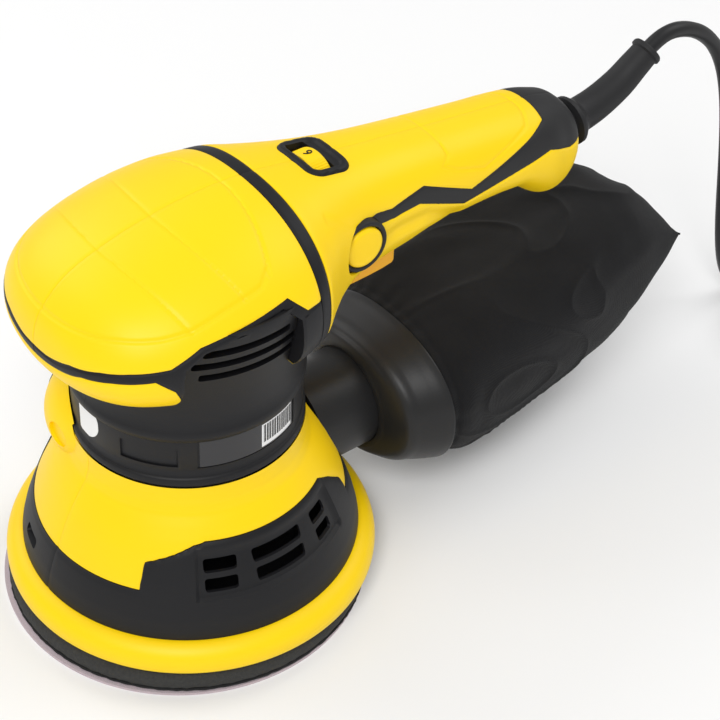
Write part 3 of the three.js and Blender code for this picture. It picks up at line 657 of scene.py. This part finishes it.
for side, sign in SIDES:
    reach = sorted((sign * SEAM, sign * 90))

    def box_tool(y0, y1, z0=60, z1=230):
        return rounded_block("tool", (reach[0], y0, z0), (reach[1], y1, z1))

    cover = copied(head_form, f"dome_{side}")
    carve(cover, box_tool(-90, LOOP_FRONT - 0.15, HEAD_FLOOR), "INTERSECT")
    carve(cover, head_wall, keep=True)
    carve(cover, side_prism("tool", grown(NOSE_BAND, 0.12), -100, 100))
    carve(cover, side_prism("tool", INLET, -100, 100))
    smooth(cover)
    finished(cover, yellow, "housing", "yellow_shell", f"head_cover_{side}")

    band = copied(head_form, f"nose_inlay_{side}")
    carve(band, box_tool(-90, LOOP_FRONT - 0.15), "INTERSECT")
    carve(band, side_prism("tool", NOSE_BAND, -100, 100), "INTERSECT")
    carve(band, head_wall, keep=True)
    carve(band, side_prism("tool", INLET, -100, 100))
    smooth(band)
    finished(band, black, "housing", "black_plastic", f"nose_band_{side}")

    post = copied(head_form, f"inlet_post_{side}")
    carve(post, box_tool(-90, LOOP_FRONT - 0.15), "INTERSECT")
    carve(post, side_prism("tool", INLET_POST, -100, 100), "INTERSECT")
    carve(post, rounded_block("tool", (-44, -90, 60), (44, 90, 230)))
    carve(post, copied(band, "tool"))
    smooth(post)
    finished(post, black, "housing", "black_plastic")

    loop = copied(handle_form, f"loop_{side}")
    carve(loop, box_tool(LOOP_FRONT + 0.15, LOOP_REAR - 0.15), "INTERSECT")
    carve(loop, handle_wall, keep=True)
    smooth(loop)
    finished(loop, black, "housing", "black_plastic", f"loop_band_{side}")

    grip = copied(handle_form, f"grip_inlay_{side}")
    carve(grip, box_tool(60, 220), "INTERSECT")
    carve(grip, side_prism("tool", GRIP_STRIP, -100, 100), "INTERSECT")
    carve(grip, handle_wall, keep=True)
    bored(grip, sign)
    smooth(grip)
    finished(grip, soft_black, "housing", "soft_rubber", f"grip_strip_{side}")

    handle = copied(handle_form, f"handle_{side}")
    carve(handle, box_tool(LOOP_REAR + 0.15, 220), "INTERSECT")
    carve(handle, side_prism("tool", grown(GRIP_STRIP, 0.12), -100, 100))
    carve(handle, handle_wall, keep=True)
    carve(handle, rounded_block("tool", (-9.4, 52, 100), (9.4, 99, 140), 2))
    carve(handle, dial_prism("tool", 0.12, 165, 200))
    bored(handle, sign)
    smooth(handle)
    finished(handle, yellow, "housing", "yellow_shell", f"handle_cover_{side}")

# ---------------------------------------------------------------- speed dial
# A yellow thumbwheel on the pin of a small circuit board looks out through a black
# surround, which follows the curve of the handle and has a raised lip.

bezel = copied(handle_form, "dial_surround")
points, normals = points_and_normals(bezel)
beyond = np.abs(points[:, :2] - (0, BEZEL_Y)) - np.array(BEZEL_HALF) + BEZEL_CORNER
inset = BEZEL_CORNER - np.linalg.norm(np.maximum(beyond, 0), axis=1) - np.minimum(np.max(beyond, axis=1), 0)
lip = np.clip(inset / 0.9, 0, 1) * np.clip((4 - inset) / 1.6, 0, 1)
raised(bezel, np.where(points[:, 2] > 160, -0.15 + 1.15 * lip * lip * (3 - 2 * lip), 0))
carve(bezel, dial_prism("tool", 0, 172, 200), "INTERSECT")
carve(bezel, handle_wall, keep=True)
carve(bezel, rounded_block("tool", (-10.2, 54, 160), (10.2, 63, 200), 0.8, 3))
smooth(bezel, 40)
finished(bezel, black, "housing", "black_plastic", "dial_bezel")

DIAL = Vector((0, 58.5, 168.6))
RIBS = 72
wheel = turned("dial_wheel", [
    (2.3, -3.9), (12.4, -3.9), (12.9, -3.4), (13, -2.8), (13, 2.8), (12.9, 3.4), (12.4, 3.9),
    (2.3, 3.9), (2.3, -3.9),
], 4 * RIBS, (0, 1, 0), DIAL)
for vert in wheel.data.vertices:
    arm = Vector((vert.co.x - DIAL.x * MM, 0, vert.co.z - DIAL.z * MM))
    turn = math.atan2(arm.x, arm.z)
    if arm.length > 12.7 * MM and abs(turn) > 0.24:
        vert.co -= arm.normalized() * (0.13 * MM * (1 - math.cos(turn * RIBS)))
smooth(wheel, 40)
finished(wheel, yellow, "speed_dial", "yellow_shell", "speed_dial")

letter = bpy.data.curves.new("dial_number", "FONT")
letter.body = "6"
letter.size = 5.6 * MM
letter.extrude = 0.2 * MM
letter.align_x = "CENTER"
letter.align_y = "CENTER"
written = bpy.data.objects.new("dial_number", letter)
bpy.context.scene.collection.objects.link(written)
bpy.context.view_layer.update()
graph = bpy.context.evaluated_depsgraph_get()
flat_number = bpy.data.meshes.new_from_object(written.evaluated_get(graph))
number = bpy.data.objects.new("dial_numeral", flat_number)
bpy.data.objects.remove(written)
bpy.context.scene.collection.objects.link(number)
number.data.transform(
    Matrix.Translation((DIAL + Vector((-1, 0, 12.98))) * MM)
    @ Matrix.Rotation(math.radians(-4.5), 4, "Y") @ Matrix.Rotation(math.pi, 4, "Z")
)
finished(number, black, "speed_dial", "black_plastic")

for form in (head_form, handle_form, head_wall, handle_wall):
    bpy.data.objects.remove(form)

# ---------------------------------------------------------------- motor neck
# Two black halves clamp the motor below the dome. A belt runs round them, and the
# flared top shows its air slots through the openings in the dome's sides.

NECK_PROFILE = [
    (41.5, 84.3), (45.8, 84.3), (46.4, 84.9), (46.4, 87.6), (46, 88.2), (45.4, 88.5),
    (45.2, 89.2), (45.2, 92.6), (45.5, 93.4), (45.5, 106.4), (46.5, 107.6), (46.7, 109.8),
    (46.3, 111.4), (45.8, 112.6), (45.8, 118),
    (46.2, 124), (47.8, 132), (50.2, 142), (52.8, 153), (54.2, 161.5), (53.8, 163), (49, 163), (44, 128),
    (41.5, 120), (41.5, 84.3),
]
under_head = lofted("under_head", section_at, spaced(section_at, -65.3, 90, 60), 128, -0.25)
carve(under_head, rounded_block("tool", (-90, -90, 60), (90, 26, HEAD_FLOOR - 0.2)))
carve(under_head, side_prism("tool", grown(INLET, -0.2), -100, 100))
label_seat = turned("label_seat", [
    (45.05, 93.2), (60, 93.2), (60, 106.6), (45.05, 106.6), (45.05, 93.2),
], 160)
carve(label_seat, rounded_block("tool", (20, -22.5, 90), (60, 22, 120)), "INTERSECT")
small_seat = turned("small_seat", [(44.7, 94), (60, 94), (60, 103), (44.7, 103), (44.7, 94)], 160)
carve(small_seat, rounded_block("tool", (17, -60, 90), (37, -28.5, 120)), "INTERSECT")
for side, sign in SIDES:
    neck = turned(f"neck_shell_{side}", NECK_PROFILE, 200)
    reach = sorted((sign * SEAM, sign * 90))
    carve(neck, rounded_block("tool", (reach[0], -90, 60), (reach[1], 90, 200)), "INTERSECT")
    carve(neck, under_head, keep=True)
    for z, front, rear in ((139.8, -24, 15), (146.3, -27, 17), (152.8, -24, 11)):
        inner, outer = sorted((sign * 30, sign * 70))
        low, high = (inner, front, z), (outer, rear, z + 3.6)
        carve(neck, rounded_block("tool", low, high, 0.8, 2))
    if sign > 0:
        carve(neck, label_seat, keep=True)
        carve(neck, small_seat, keep=True)
    smooth(neck)
    finished(neck, black, "housing", "black_plastic", f"neck_{side}")
for tool in (under_head, label_seat, small_seat):
    bpy.data.objects.remove(tool)

# The plate in the neck's recess is left blank, apart from plain bars for a code.
LABEL_TOP, LABEL_FOOT = 106.2, 93.6


def wrapped(name, radius, thickness, first, last, foot, top, steps=24):
    """A thin plate bent round the neck between two angles from the nose."""
    mesh = bmesh.new()
    rows = []
    for i in range(steps + 1):
        angle = math.radians(first + (last - first) * i / steps)
        around_neck = Vector((math.sin(angle), -math.cos(angle), 0))
        rows.append([
            mesh.verts.new((around_neck * r + Vector((0, 0, z))) * MM)
            for r, z in ((radius, foot), (radius + thickness, foot), (radius + thickness, top), (radius, top))
        ])
    for a, b in zip(rows, rows[1:]):
        for k in range(4):
            mesh.faces.new((a[k], a[(k + 1) % 4], b[(k + 1) % 4], b[k]))
    mesh.faces.new(rows[0])
    mesh.faces.new(reversed(rows[-1]))
    return bmesh_object(name, mesh)


plate = wrapped("blank_plate", 45.1, 0.25, 61.5, 118, LABEL_FOOT, LABEL_TOP, 60)
smooth(plate)
film = Paint("label_film", (0.018, 0.018, 0.021), 0.3)
film.bumped(film.grain(260, 2), 0.00001)
finished(plate, film.material, "housing", "label_film", "rating_label")

# A white strip of plain bars is stuck to the plate, and a blank white sticker
# lies over the seam at the front.
white = moulded("white_film", (0.85, 0.85, 0.85), (0.8, 0.8, 0.8), 0.45, 0.000005, 1300)
strip = wrapped("bar_sticker", 45.38, 0.06, 94, 116, 94.4, 105.6)
finished(strip, white, "housing", "label_film")
start, bars = 95.2, []
for i in range(19):
    width = 0.35 + 0.3 * ((i * 7) % 3)
    bars.append(wrapped(f"bar_{i}", 45.46, 0.05, start, start + width, 96.4, 105, 1))
    start += width + 0.3 + 0.2 * ((i * 5) % 3)
merged = bmesh.new()
for bar in bars:
    merged.from_mesh(bar.data)
    bpy.data.objects.remove(bar)
finished(bmesh_object("printed_bars", merged), black, "housing", "black_plastic")
front_sticker = wrapped("front_sticker", 45.53, 0.12, -7.6, 8.4, 93.6, 106.2)
carve(front_sticker, rod(8.8, 30, 60, 64, (0, -1, 0), (-2, 0, 102)), "INTERSECT")
finished(front_sticker, white, "housing", "label_film")

# ---------------------------------------------------------------- trigger and lock button
# An amber paddle under the front of the handle, hinged at its front end, and a round
# yellow button in a raised black ring that locks it on.

amber = moulded("amber_abs", (1.0, 0.5, 0.02), (0.95, 0.45, 0.015), 0.34, 0.00001, 1300)
TRIGGER = [
    (55, 134), (55, 120), (57, 118), (60, 117), (68, 116.9), (76, 117.2), (84, 117.5),
    (90, 118), (94.5, 118.8), (95.8, 120.5), (96, 131.8), (70, 134),
]
paddle = side_prism("trigger_paddle", TRIGGER, -9, 9)
rounding = paddle.modifiers.new("round", "BEVEL")
rounding.width = 1.6 * MM
rounding.segments = 4
rounding.limit_method = "ANGLE"
rounding.angle_limit = math.radians(60)
smooth(paddle, 40)
finished(paddle, amber, "trigger", "amber_trigger", "trigger")

collar_ring = turned("button_ring", [
    (8.9, -9.4), (11.2, -9.4), (11.2, 1), (10.8, 1.9), (10.1, 2.2), (9.4, 1.9), (8.9, 1.2), (8.9, -9.4),
], 96, (1, 0, 0), BUTTON)
smooth(collar_ring, 50)
finished(collar_ring, soft_black, "housing", "black_plastic", "lock_button_ring")
button = turned("lock_cap", [
    (0, -12.4), (8.6, -12.4), (8.6, 1.8), (8.3, 2.4), (7.6, 2.8), (6.6, 2.9), (0, 2.9),
], 96, (1, 0, 0), BUTTON)
smooth(button, 50)
finished(button, yellow, "lock_button", "yellow_shell", "lock_button")

# ---------------------------------------------------------------- shroud and vent band
# The lower housing is moulded in two yellow halves. The left one swells out beside
# the neck. A black band lies round the foot and rises on both sides over the slots.

OUTSIDE = [
    (69, 24.3), (68.6, 27), (67.4, 32), (65.6, 37.5), (63.6, 43), (61.9, 47.5), (60, 52), (57.3, 58),
    (54.6, 63), (51.4, 68), (48.6, 72), (47.2, 76), (46.7, 80), (46.6, 84),
]
WALL = 2.6


def shroud_ring(name, by, steps=320):
    """The shroud's wall, moved outwards all round by this much."""
    fine = []
    for (r0, z0), (r1, z1) in zip(OUTSIDE, OUTSIDE[1:]):
        fine += [(r0 + (r1 - r0) * f / 4 + by, z0 + (z1 - z0) * f / 4) for f in range(4)]
    fine.append((OUTSIDE[-1][0] + by, OUTSIDE[-1][1]))
    inner = [(r - WALL, z) for r, z in reversed(OUTSIDE[::3])]
    return turned(name, [*fine, *inner, fine[0]], steps)


def swelling(name, by):
    """The ball-shaped swelling beside the neck, grown all round by this much."""
    mesh = bmesh.new()
    bmesh.ops.create_uvsphere(mesh, u_segments=96, v_segments=64, radius=1)
    bmesh.ops.scale(mesh, verts=mesh.verts[:], vec=(Vector((26, 26, 24.5)) + Vector((by, by, by))) * MM)
    bmesh.ops.translate(mesh, verts=mesh.verts[:], vec=Vector((-23, -22, 79.5)) * MM)
    return bmesh_object(name, mesh)


def crenel(name, tops, steps=720, outer=100, inner=30, foot=10):
    """A ring whose upper edge is at tops(angle), measured round from the nose."""
    mesh = bmesh.new()
    outline = (inner, foot), (outer, foot), (outer, 50), (inner, 50)
    corners = [mesh.verts.new((r * MM, 0, z * MM)) for r, z in outline]
    edges = [mesh.edges.new((a, b)) for a, b in zip(corners, corners[1:] + corners[:1])]
    bmesh.ops.spin(
        mesh, geom=corners + edges, axis=(0, 0, 1), cent=(0, 0, 0), angle=2 * math.pi,
        steps=steps, use_merge=True,
    )
    bmesh.ops.remove_doubles(mesh, verts=mesh.verts[:], dist=1e-7)
    for vert in mesh.verts:
        if vert.co.z > 30 * MM:
            angle = math.degrees(math.atan2(vert.co.x, -vert.co.y))
            vert.co.z = tops(angle) * MM
    return bmesh_object(name, mesh)


BAND_FRONT = 43.4
RIGHT_TOPS = [
    (37.5, BAND_FRONT), (38.5, 54.4), (44, 56.4), (50, 58.6), (57, 61.6), (62, 62.8),
    (124, 62.6), (131, 58), (138.5, 51), (139.5, BAND_FRONT),
]


def band_top(angle):
    """Height of the band's upper edge. Past 180 on the left half it is out of sight."""
    if angle < 0:
        angle = -angle
        if 47 < angle < 133:
            return min(110, 56 + (angle - 47) * 12) if angle < 120 else 62
        return BAND_FRONT
    places, heights = zip(*RIGHT_TOPS)
    if angle < places[0] or angle > places[-1]:
        return BAND_FRONT
    return float(np.interp(angle, places, heights))


TUBE_AXIS, TUBE_HOLE_R = (0, 0, 49), 22.5
tube_way = rod(TUBE_HOLE_R, 30, 80, 96, (0, 1, 0), TUBE_AXIS, "tube_way")
neck_room = turned("neck_room", [
    (0, 60), (43.8, 60), (43.8, 84), (46.75, 84.01), (46.75, 88), (46.1, 88.8), (46.1, 104),
    (47, 106), (47, 130), (0, 130),
], 128)
shell = shroud_ring("shell", 0)
bulge = swelling("bulge", 0)
carve(shell, bulge, "UNION")
inside = [(r - WALL, z) for r, z in OUTSIDE]
core = turned("core", [(0, 20), *inside, (44, 84.5), (44, 130), (0, 130)], 160)
carve(shell, core, keep=True)
carve(shell, neck_room, keep=True)
carve(shell, rounded_block("tool", (-90, -90, 0), (90, 90, 24.3)))
points, normals = points_and_normals(shell)
angles = np.degrees(np.arctan2(points[:, 0], -points[:, 1]))
edge = np.array([band_top(a) for a in angles])
heights = groove(np.abs(points[:, 2] - edge), 1.1, 0.45)
heights += groove(np.abs(points[:, 0]), 0.6, 0.2) * (points[:, 1] < 0)
raised(shell, heights)

recessed = copied(shell, "band_form")
points, normals = points_and_normals(recessed)
angles = np.degrees(np.arctan2(points[:, 0], -points[:, 1]))
z = points[:, 2]
outer_face = (normals[:, 0] * points[:, 0] + normals[:, 1] * points[:, 1]) > 0
field = (
    np.clip((z - 40.6) / 0.8, 0, 1) * np.clip((59.6 - z) / 0.8, 0, 1)
    * np.clip((angles - 57.5) / 1.2, 0, 1) * np.clip((124.5 - angles) / 1.2, 0, 1)
)
raised(recessed, np.where(outer_face, 0.35 - 1.5 * field, 0))

VENT_SLOTS = (67, 6.6), (91.5, 11.6), (115, 5)
VENT_ROWS, VENT_HEIGHT = (43, 50.6), 5.4
dimple = turned("dimple", [
    (0, -20), (4.8, -20), (5.6, -3), (5.6, 0), (0, 0),
], 48, (0, 1, 0), (-21.5, -46, 79))
for side, sign in SIDES:
    reach = sorted((sign * SEAM, sign * 90))

    def half_tool():
        return rounded_block("tool", (reach[0], -90, 10), (reach[1], 90, 140))

    part = copied(shell, f"lower_shell_{side}")
    carve(part, half_tool(), "INTERSECT")
    carve(part, crenel("tool", lambda angle: band_top(angle) + 0.15))
    carve(part, tube_way, keep=True)
    if sign < 0:
        carve(part, dimple, keep=True)
    smooth(part, 30)
    finished(part, yellow, "housing", "yellow_shell", f"shroud_{side}")

    band = copied(recessed, f"vent_panel_{side}")
    carve(band, half_tool(), "INTERSECT")
    carve(band, crenel("tool", band_top), "INTERSECT")
    carve(band, tube_way, keep=True)
    for angle, half in VENT_SLOTS:
        turn = math.radians(angle - 90 if sign > 0 else 270 - angle)
        for low in VENT_ROWS:
            slot = rounded_block("tool", (45, -half, low), (80, half, low + VENT_HEIGHT), 1.2, 3)
            slot.data.transform(Matrix.Rotation(turn, 4, "Z"))
            carve(band, slot)
    if sign < 0:
        slot = rounded_block("tool", (55, -4.4, 31.6), (80, 8, 36.4), 1.6, 3)
        slot.data.transform(Matrix.Rotation(math.radians(270 - 19), 4, "Z"))
        carve(band, slot)
    smooth(band, 30)
    finished(band, black, "housing", "black_plastic", f"vent_band_{side}")
for tool in (shell, recessed, core, tube_way, neck_room, dimple):
    bpy.data.objects.remove(tool)

rim = turned("shroud_lip", [
    (73.2, 11.6), (75.4, 11.7), (76.1, 12.4), (76.5, 14), (76.5, 16.4), (76.1, 18.6),
    (75, 20.8), (73.2, 22.6), (71, 23.7), (69.4, 24), (66.6, 24), (66.5, 20.5), (70.9, 17), (73.2, 11.6),
], 256)
rim_round = rim.modifiers.new("soften", "SUBSURF")
rim_round.levels = rim_round.render_levels = 1
smooth(rim, 60)
finished(rim, yellow, "housing", "yellow_shell", "rim_ring")

# ---------------------------------------------------------------- pad
# A soft foam pad with a hooked face carries the abrasive disc. It hangs from the
# bearing on the motor's offset stub, 2 mm off the motor's own axis.

PAD_Y = -2
DUST_CIRCLE, DUST_HOLE_R = 40, 5
SCREW_CIRCLE, SCREW_WELL_R = 20, 6
foam_paint = Paint("pad_foam", (0.022, 0.022, 0.021), 0.9)
cells = foam_paint.grain(700, 4, 0.7)
foam_paint.set("Base Color", foam_paint.mixed(cells, (0.012, 0.012, 0.012), (0.05, 0.05, 0.046)))
foam_paint.bumped(cells, 0.0006)
foam = turned("pad_cushion", [
    (0, 2.9), (74.2, 2.9), (74.6, 3.8), (74.9, 6), (74.6, 8), (73.8, 9.4), (72.5, 10.4), (0, 10.4),
], 256, at=(0, PAD_Y, 0))
hook = turned("pad_hooks", [(0, 1.5), (74.4, 1.5), (74.9, 2), (74.6, 2.6), (0, 2.6)], 256, at=(0, PAD_Y, 0))
disc = turned("abrasive_sheet", [
    (0, 0), (75.5, 0), (75.6, 0.4), (75.5, 1.2), (0, 1.2),
], 256, at=(-0.9, PAD_Y - 1, 0))
for i in range(6):
    angle = i * math.pi / 3
    at = (DUST_CIRCLE * math.cos(angle), DUST_CIRCLE * math.sin(angle) + PAD_Y, 0)
    for layer in (foam, hook, disc):
        carve(layer, rod(DUST_HOLE_R, -1, 20, 32, at=at))
for i in range(4):
    angle = math.pi / 4 + i * math.pi / 2
    at = (SCREW_CIRCLE * math.cos(angle), SCREW_CIRCLE * math.sin(angle) + PAD_Y, 0)
    for layer in (foam, hook):
        carve(layer, rod(SCREW_WELL_R, 1.3, 20, 32, at=at))
for layer, depth in ((foam, 0.35), (hook, 0.45)):
    points, normals = points_and_normals(layer)
    edge = np.hypot(points[:, 0], points[:, 1] - PAD_Y) > 72
    rough = np.array([noise.noise(Vector(p) * 0.9) - 0.3 for p in points])
    raised(layer, np.where(edge, depth * rough, 0))
for layer in (foam, hook, disc):
    smooth(layer, 40)
finished(foam, foam_paint.material, "pad", "foam", "foam_pad")
pile = Paint("hook_pile", (0.016, 0.016, 0.016), 0.95)
pile.bumped(pile.grain(1800, 3), 0.0008)
finished(hook, pile.material, "pad", "hook_pile", "hook_face")
grit = Paint("abrasive", (0.52, 0.42, 0.45), 0.95)
specks = grit.grain(2600, 2)
grit.set("Base Color", grit.mixed(specks, (0.42, 0.34, 0.37), (0.66, 0.56, 0.59)))
grit.bumped(specks, 0.0003)
finished(disc, grit.material, "pad", "abrasive", "sanding_disc")

# ---------------------------------------------------------------- dust outlet and collar
# A black tube behind the shroud takes the dust to a push-on collar that carries the
# bag. The tube is smooth, and the collar flares from a round neck to an oval mouth.

tube = turned("outlet_tube", [
    (19.6, 52), (22.2, 52), (22.2, 97.8), (21.4, 99), (20.2, 99), (19.6, 98.2), (19.6, 52),
], 160, (0, 1, 0), TUBE_AXIS)
smooth(tube, 50)
grey = moulded("grey_abs", (0.011, 0.011, 0.0115), (0.018, 0.018, 0.019), 0.4, 0.00003, 900)
finished(tube, grey, "housing", "grey_plastic", "dust_tube")

COLLAR = [
    (80.4, 24.4, 73.4, 49, 24.6, 2), (80.7, 25.2, 74.2, 49, 23.8, 2), (81.4, 28.5, 75.6, 49.1, 22.6, 2.05),
    (82.6, 33.2, 76.4, 49.4, 22.2, 2.1), (83.5, 35.6, 76.9, 49.6, 22, 2.1), (84.3, 37, 77.6, 49.8, 21.4, 2.1),
    (85.4, 38, 78.2, 50, 20.8, 2.15), (90, 40.4, 79.6, 50.3, 19.2, 2.15), (96, 43.3, 81.4, 50.7, 17.6, 2.2),
    (101.2, 45.7, 82.9, 51, 16.4, 2.2), (102.2, 46, 83, 51, 16.2, 2.2), (102.8, 45.7, 82.7, 51, 16.5, 2.2),
    (103, 45.2, 82.2, 51, 17, 2.2),
]


def plain(rows):
    """The rows as one smooth function of Y, with straight ends."""
    knots = np.array([row[0] for row in rows])
    values = np.array([row[1:] for row in rows])
    slopes = np.gradient(values, knots, axis=0)

    def at(y):
        k = min(max(int(np.searchsorted(knots, y)) - 1, 0), len(knots) - 2)
        gap = knots[k + 1] - knots[k]
        f = min(max((y - knots[k]) / gap, 0), 1)
        return hermite(values, slopes, k, gap, f)

    return at


collar_at = plain(COLLAR)
collar_ys = np.concatenate([np.linspace(80.4, 86, 40), np.linspace(86.5, 103, 40)])
collar = lofted("collar", collar_at, collar_ys, 220)
bore = lofted("bore", collar_at, np.linspace(80.4, 103, 30), 96, 2)
bore.data.transform(Matrix.Translation((0, 4 * MM, 0)))
carve(collar, bore)
carve(collar, rod(TUBE_HOLE_R, 60, 120, 96, (0, 1, 0), TUBE_AXIS))
smooth(collar, 45)
finished(collar, grey, "dust_box", "grey_plastic", "bag_collar")

# ---------------------------------------------------------------- dust bag
# A sewn bag of thin black polyester, open at the collar and closed by a flat seam at
# the other end. It is limp, half filled with air, and creased.

BAG = [
    (103.3, 42.8, 82.4, 51, 17.8, 2.25, 0), (106, 43.6, 83.6, 51.2, 17, 2.25, 0),
    (112, 45.6, 86.6, 51.6, 15.6, 2.3, 0), (124, 47.4, 90.6, 52.4, 14.4, 2.35, -1.4),
    (140, 48, 93, 54, 15, 2.4, -3), (158, 47.6, 95.4, 57, 17.6, 2.45, -4.4),
    (178, 46.6, 97.4, 60, 20.6, 2.5, -5.4), (198, 45.2, 98.6, 63, 25, 2.5, -6.4),
    (214, 43, 98.8, 66.4, 31, 2.5, -7), (226, 40.8, 97.6, 68, 37, 2.5, -7.4),
    (235, 38, 93.4, 69.4, 43, 2.45, -7.2), (244, 34.8, 87, 70.6, 50.4, 2.4, -6.8),
    (251.4, 31.4, 80, 71.4, 60, 2.3, -6.4), (254.5, 30, 76, 71.8, 66.6, 2.2, -6),
    (256, 29.4, 73, 72, 71, 2.1, -6),
]
bag_at = plain(BAG)
bag = lofted("dust_sack", bag_at, np.linspace(BAG[0][0], BAG[-1][0], 270), 350)
points, normals = points_and_normals(bag)
grip_of = np.clip((points[:, 1] - 103.3) / 16, 0, 1)
heights = np.zeros(len(points))
around_bag = np.arctan2(points[:, 2] - 56, points[:, 0] + 4)
for i, (px, py, pz) in enumerate(points):
    spot = Vector((px, 0.55 * py, pz)) * 0.017
    bend = noise.noise(spot * 1.1 + Vector((7, 2, 5)))
    slack = noise.noise(Vector((around_bag[i] * 0.9 + bend, py * 0.012 + bend, 3.1)))
    crease = 1 - abs(noise.noise(spot * 1.5 + Vector((bend, 2 * bend, 11)))) * 3
    heights[i] = 2.1 * slack + 1.1 * max(crease, 0) ** 3 - 0.6 + 0.35 * noise.noise(spot * 6)
gathers = np.cos(around_bag * 24 + 1.5 * np.sin(around_bag * 5)) * 0.3 * np.exp(-(points[:, 1] - 103) / 7)
ends = np.exp(-((points[:, 1] - 106.5) / 1.3) ** 2)
raised(bag, heights * grip_of + gathers - 0.5 * ends)
smooth(bag, 80)
cloth = Paint("bag_cloth", (0.0065, 0.0065, 0.0075), 0.9, specular_ior_level=0.2, sheen_weight=0.06)
weave_x = cloth.wave("X", 900.0, 1.5)
weave_y = cloth.wave("Y", 900.0, 1.5)
dust = cloth.grain(45, 5, 0.6)
cloth.set("Base Color", cloth.mixed(dust, (0.004, 0.004, 0.0048), (0.0105, 0.0105, 0.0115)))
cloth.bumped(weave_x * 0.5 + weave_y * 0.5 + cloth.grain(350, 3) * 1.2, 0.00012)
finished(bag, cloth.material, "dust_box", "bag_cloth", "dust_bag")

# ---------------------------------------------------------------- motor and inner pieces
# What the shells hide keeps its plain machined form: ground steel, lacquered copper
# windings, laminated cores, die cast alloy and black mouldings.

ground = Paint("ground_steel", (0.5, 0.51, 0.53), 0.26, metallic=1.0)
ground.set("Roughness", 0.2 + ground.grain(400, 3) * 0.15)
laminate = Paint("laminated_core", (0.22, 0.225, 0.235), 0.45, metallic=1.0)
laminate.bumped(laminate.wave("Z", 320.0), 0.0002)
copper = Paint("copper_wire", (0.48, 0.15, 0.045), 0.3, metallic=1.0)
copper.bumped(copper.wave("DIAGONAL", 300.0, 0.6), 0.0003)
cast = Paint("cast_alloy", (0.58, 0.59, 0.6), 0.42, metallic=1.0)
cast.bumped(cast.grain(900, 3), 0.00008)
carbon = Paint("pressed_carbon", (0.012, 0.012, 0.012), 0.6)
carbon.bumped(carbon.grain(1500, 2), 0.00005)
board = Paint("circuit_board", (0.015, 0.11, 0.03), 0.35)
board.set("Base Color", board.mixed(board.grain(220, 2), (0.01, 0.08, 0.02), (0.025, 0.15, 0.045)))
INNER = [
    (ground.material, "steel", "pad_screw_1 pad_screw_2 pad_screw_3 pad_screw_4 pad_bearing"
     " armature_shaft lower_bearing upper_bearing"),
    (laminate.material, "core_steel", "counterweight rotor_core stator_core"),
    (copper.material, "copper", "armature_winding commutator field_coil_front field_coil_rear"),
    (cast.material, "cast_alloy", "bearing_plate"),
    (carbon.material, "carbon", "brush_left brush_right"),
    (black, "black_plastic", "backing_plate bearing_bridge brush_holder_left"
     " brush_holder_right switch_body cord_clamp"),
    (grey, "grey_plastic", "fan"),
    (soft_black, "soft_rubber", "pad_brake"),
    (board.material, "circuit", "speed_board"),
]
for material, slot, names in INNER:
    for name in names.split():
        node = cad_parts[name]
        node.data.materials.clear()
        node.data.materials.append(material)

# ---------------------------------------------------------------- floor and light
# A plain pale floor and three large soft lamps, the strongest one at the front right.
# An even white surround fills the shadows.

mesh = bmesh.new()
bmesh.ops.create_grid(mesh, x_segments=1, y_segments=1, size=6)
floor = bmesh_object("floor", mesh)
floor.data.materials.append(Paint("floor_paint", (0.9, 0.9, 0.9), 0.9).material)

for name, place, size, power in (
    ("key_lamp", (0.9, -0.9, 1.5), 0.9, 21), ("fill_lamp", (-1.3, -0.3, 1.1), 1.2, 8),
    ("back_lamp", (0.2, 1.4, 1.5), 1.2, 9),
):
    light = bpy.data.lights.new(name, "AREA")
    light.shape = "SQUARE"
    light.size = size
    light.energy = power
    lamp = bpy.data.objects.new(name, light)
    lamp.location = place
    lamp.rotation_mode = "QUATERNION"
    lamp.rotation_quaternion = (Vector(place) - Vector((0, 0.1, 0.1))).to_track_quat("Z", "Y")
    bpy.context.scene.collection.objects.link(lamp)

world = bpy.data.worlds.new("world")
world.use_nodes = True
sky = next(n for n in world.node_tree.nodes if n.type == "BACKGROUND")
sky.inputs["Color"].default_value = (1, 1, 1, 1)
sky.inputs["Strength"].default_value = 0.5
bpy.context.scene.world = world
bpy.context.scene.view_settings.view_transform = "Standard"

bpy.context.view_layer.update()
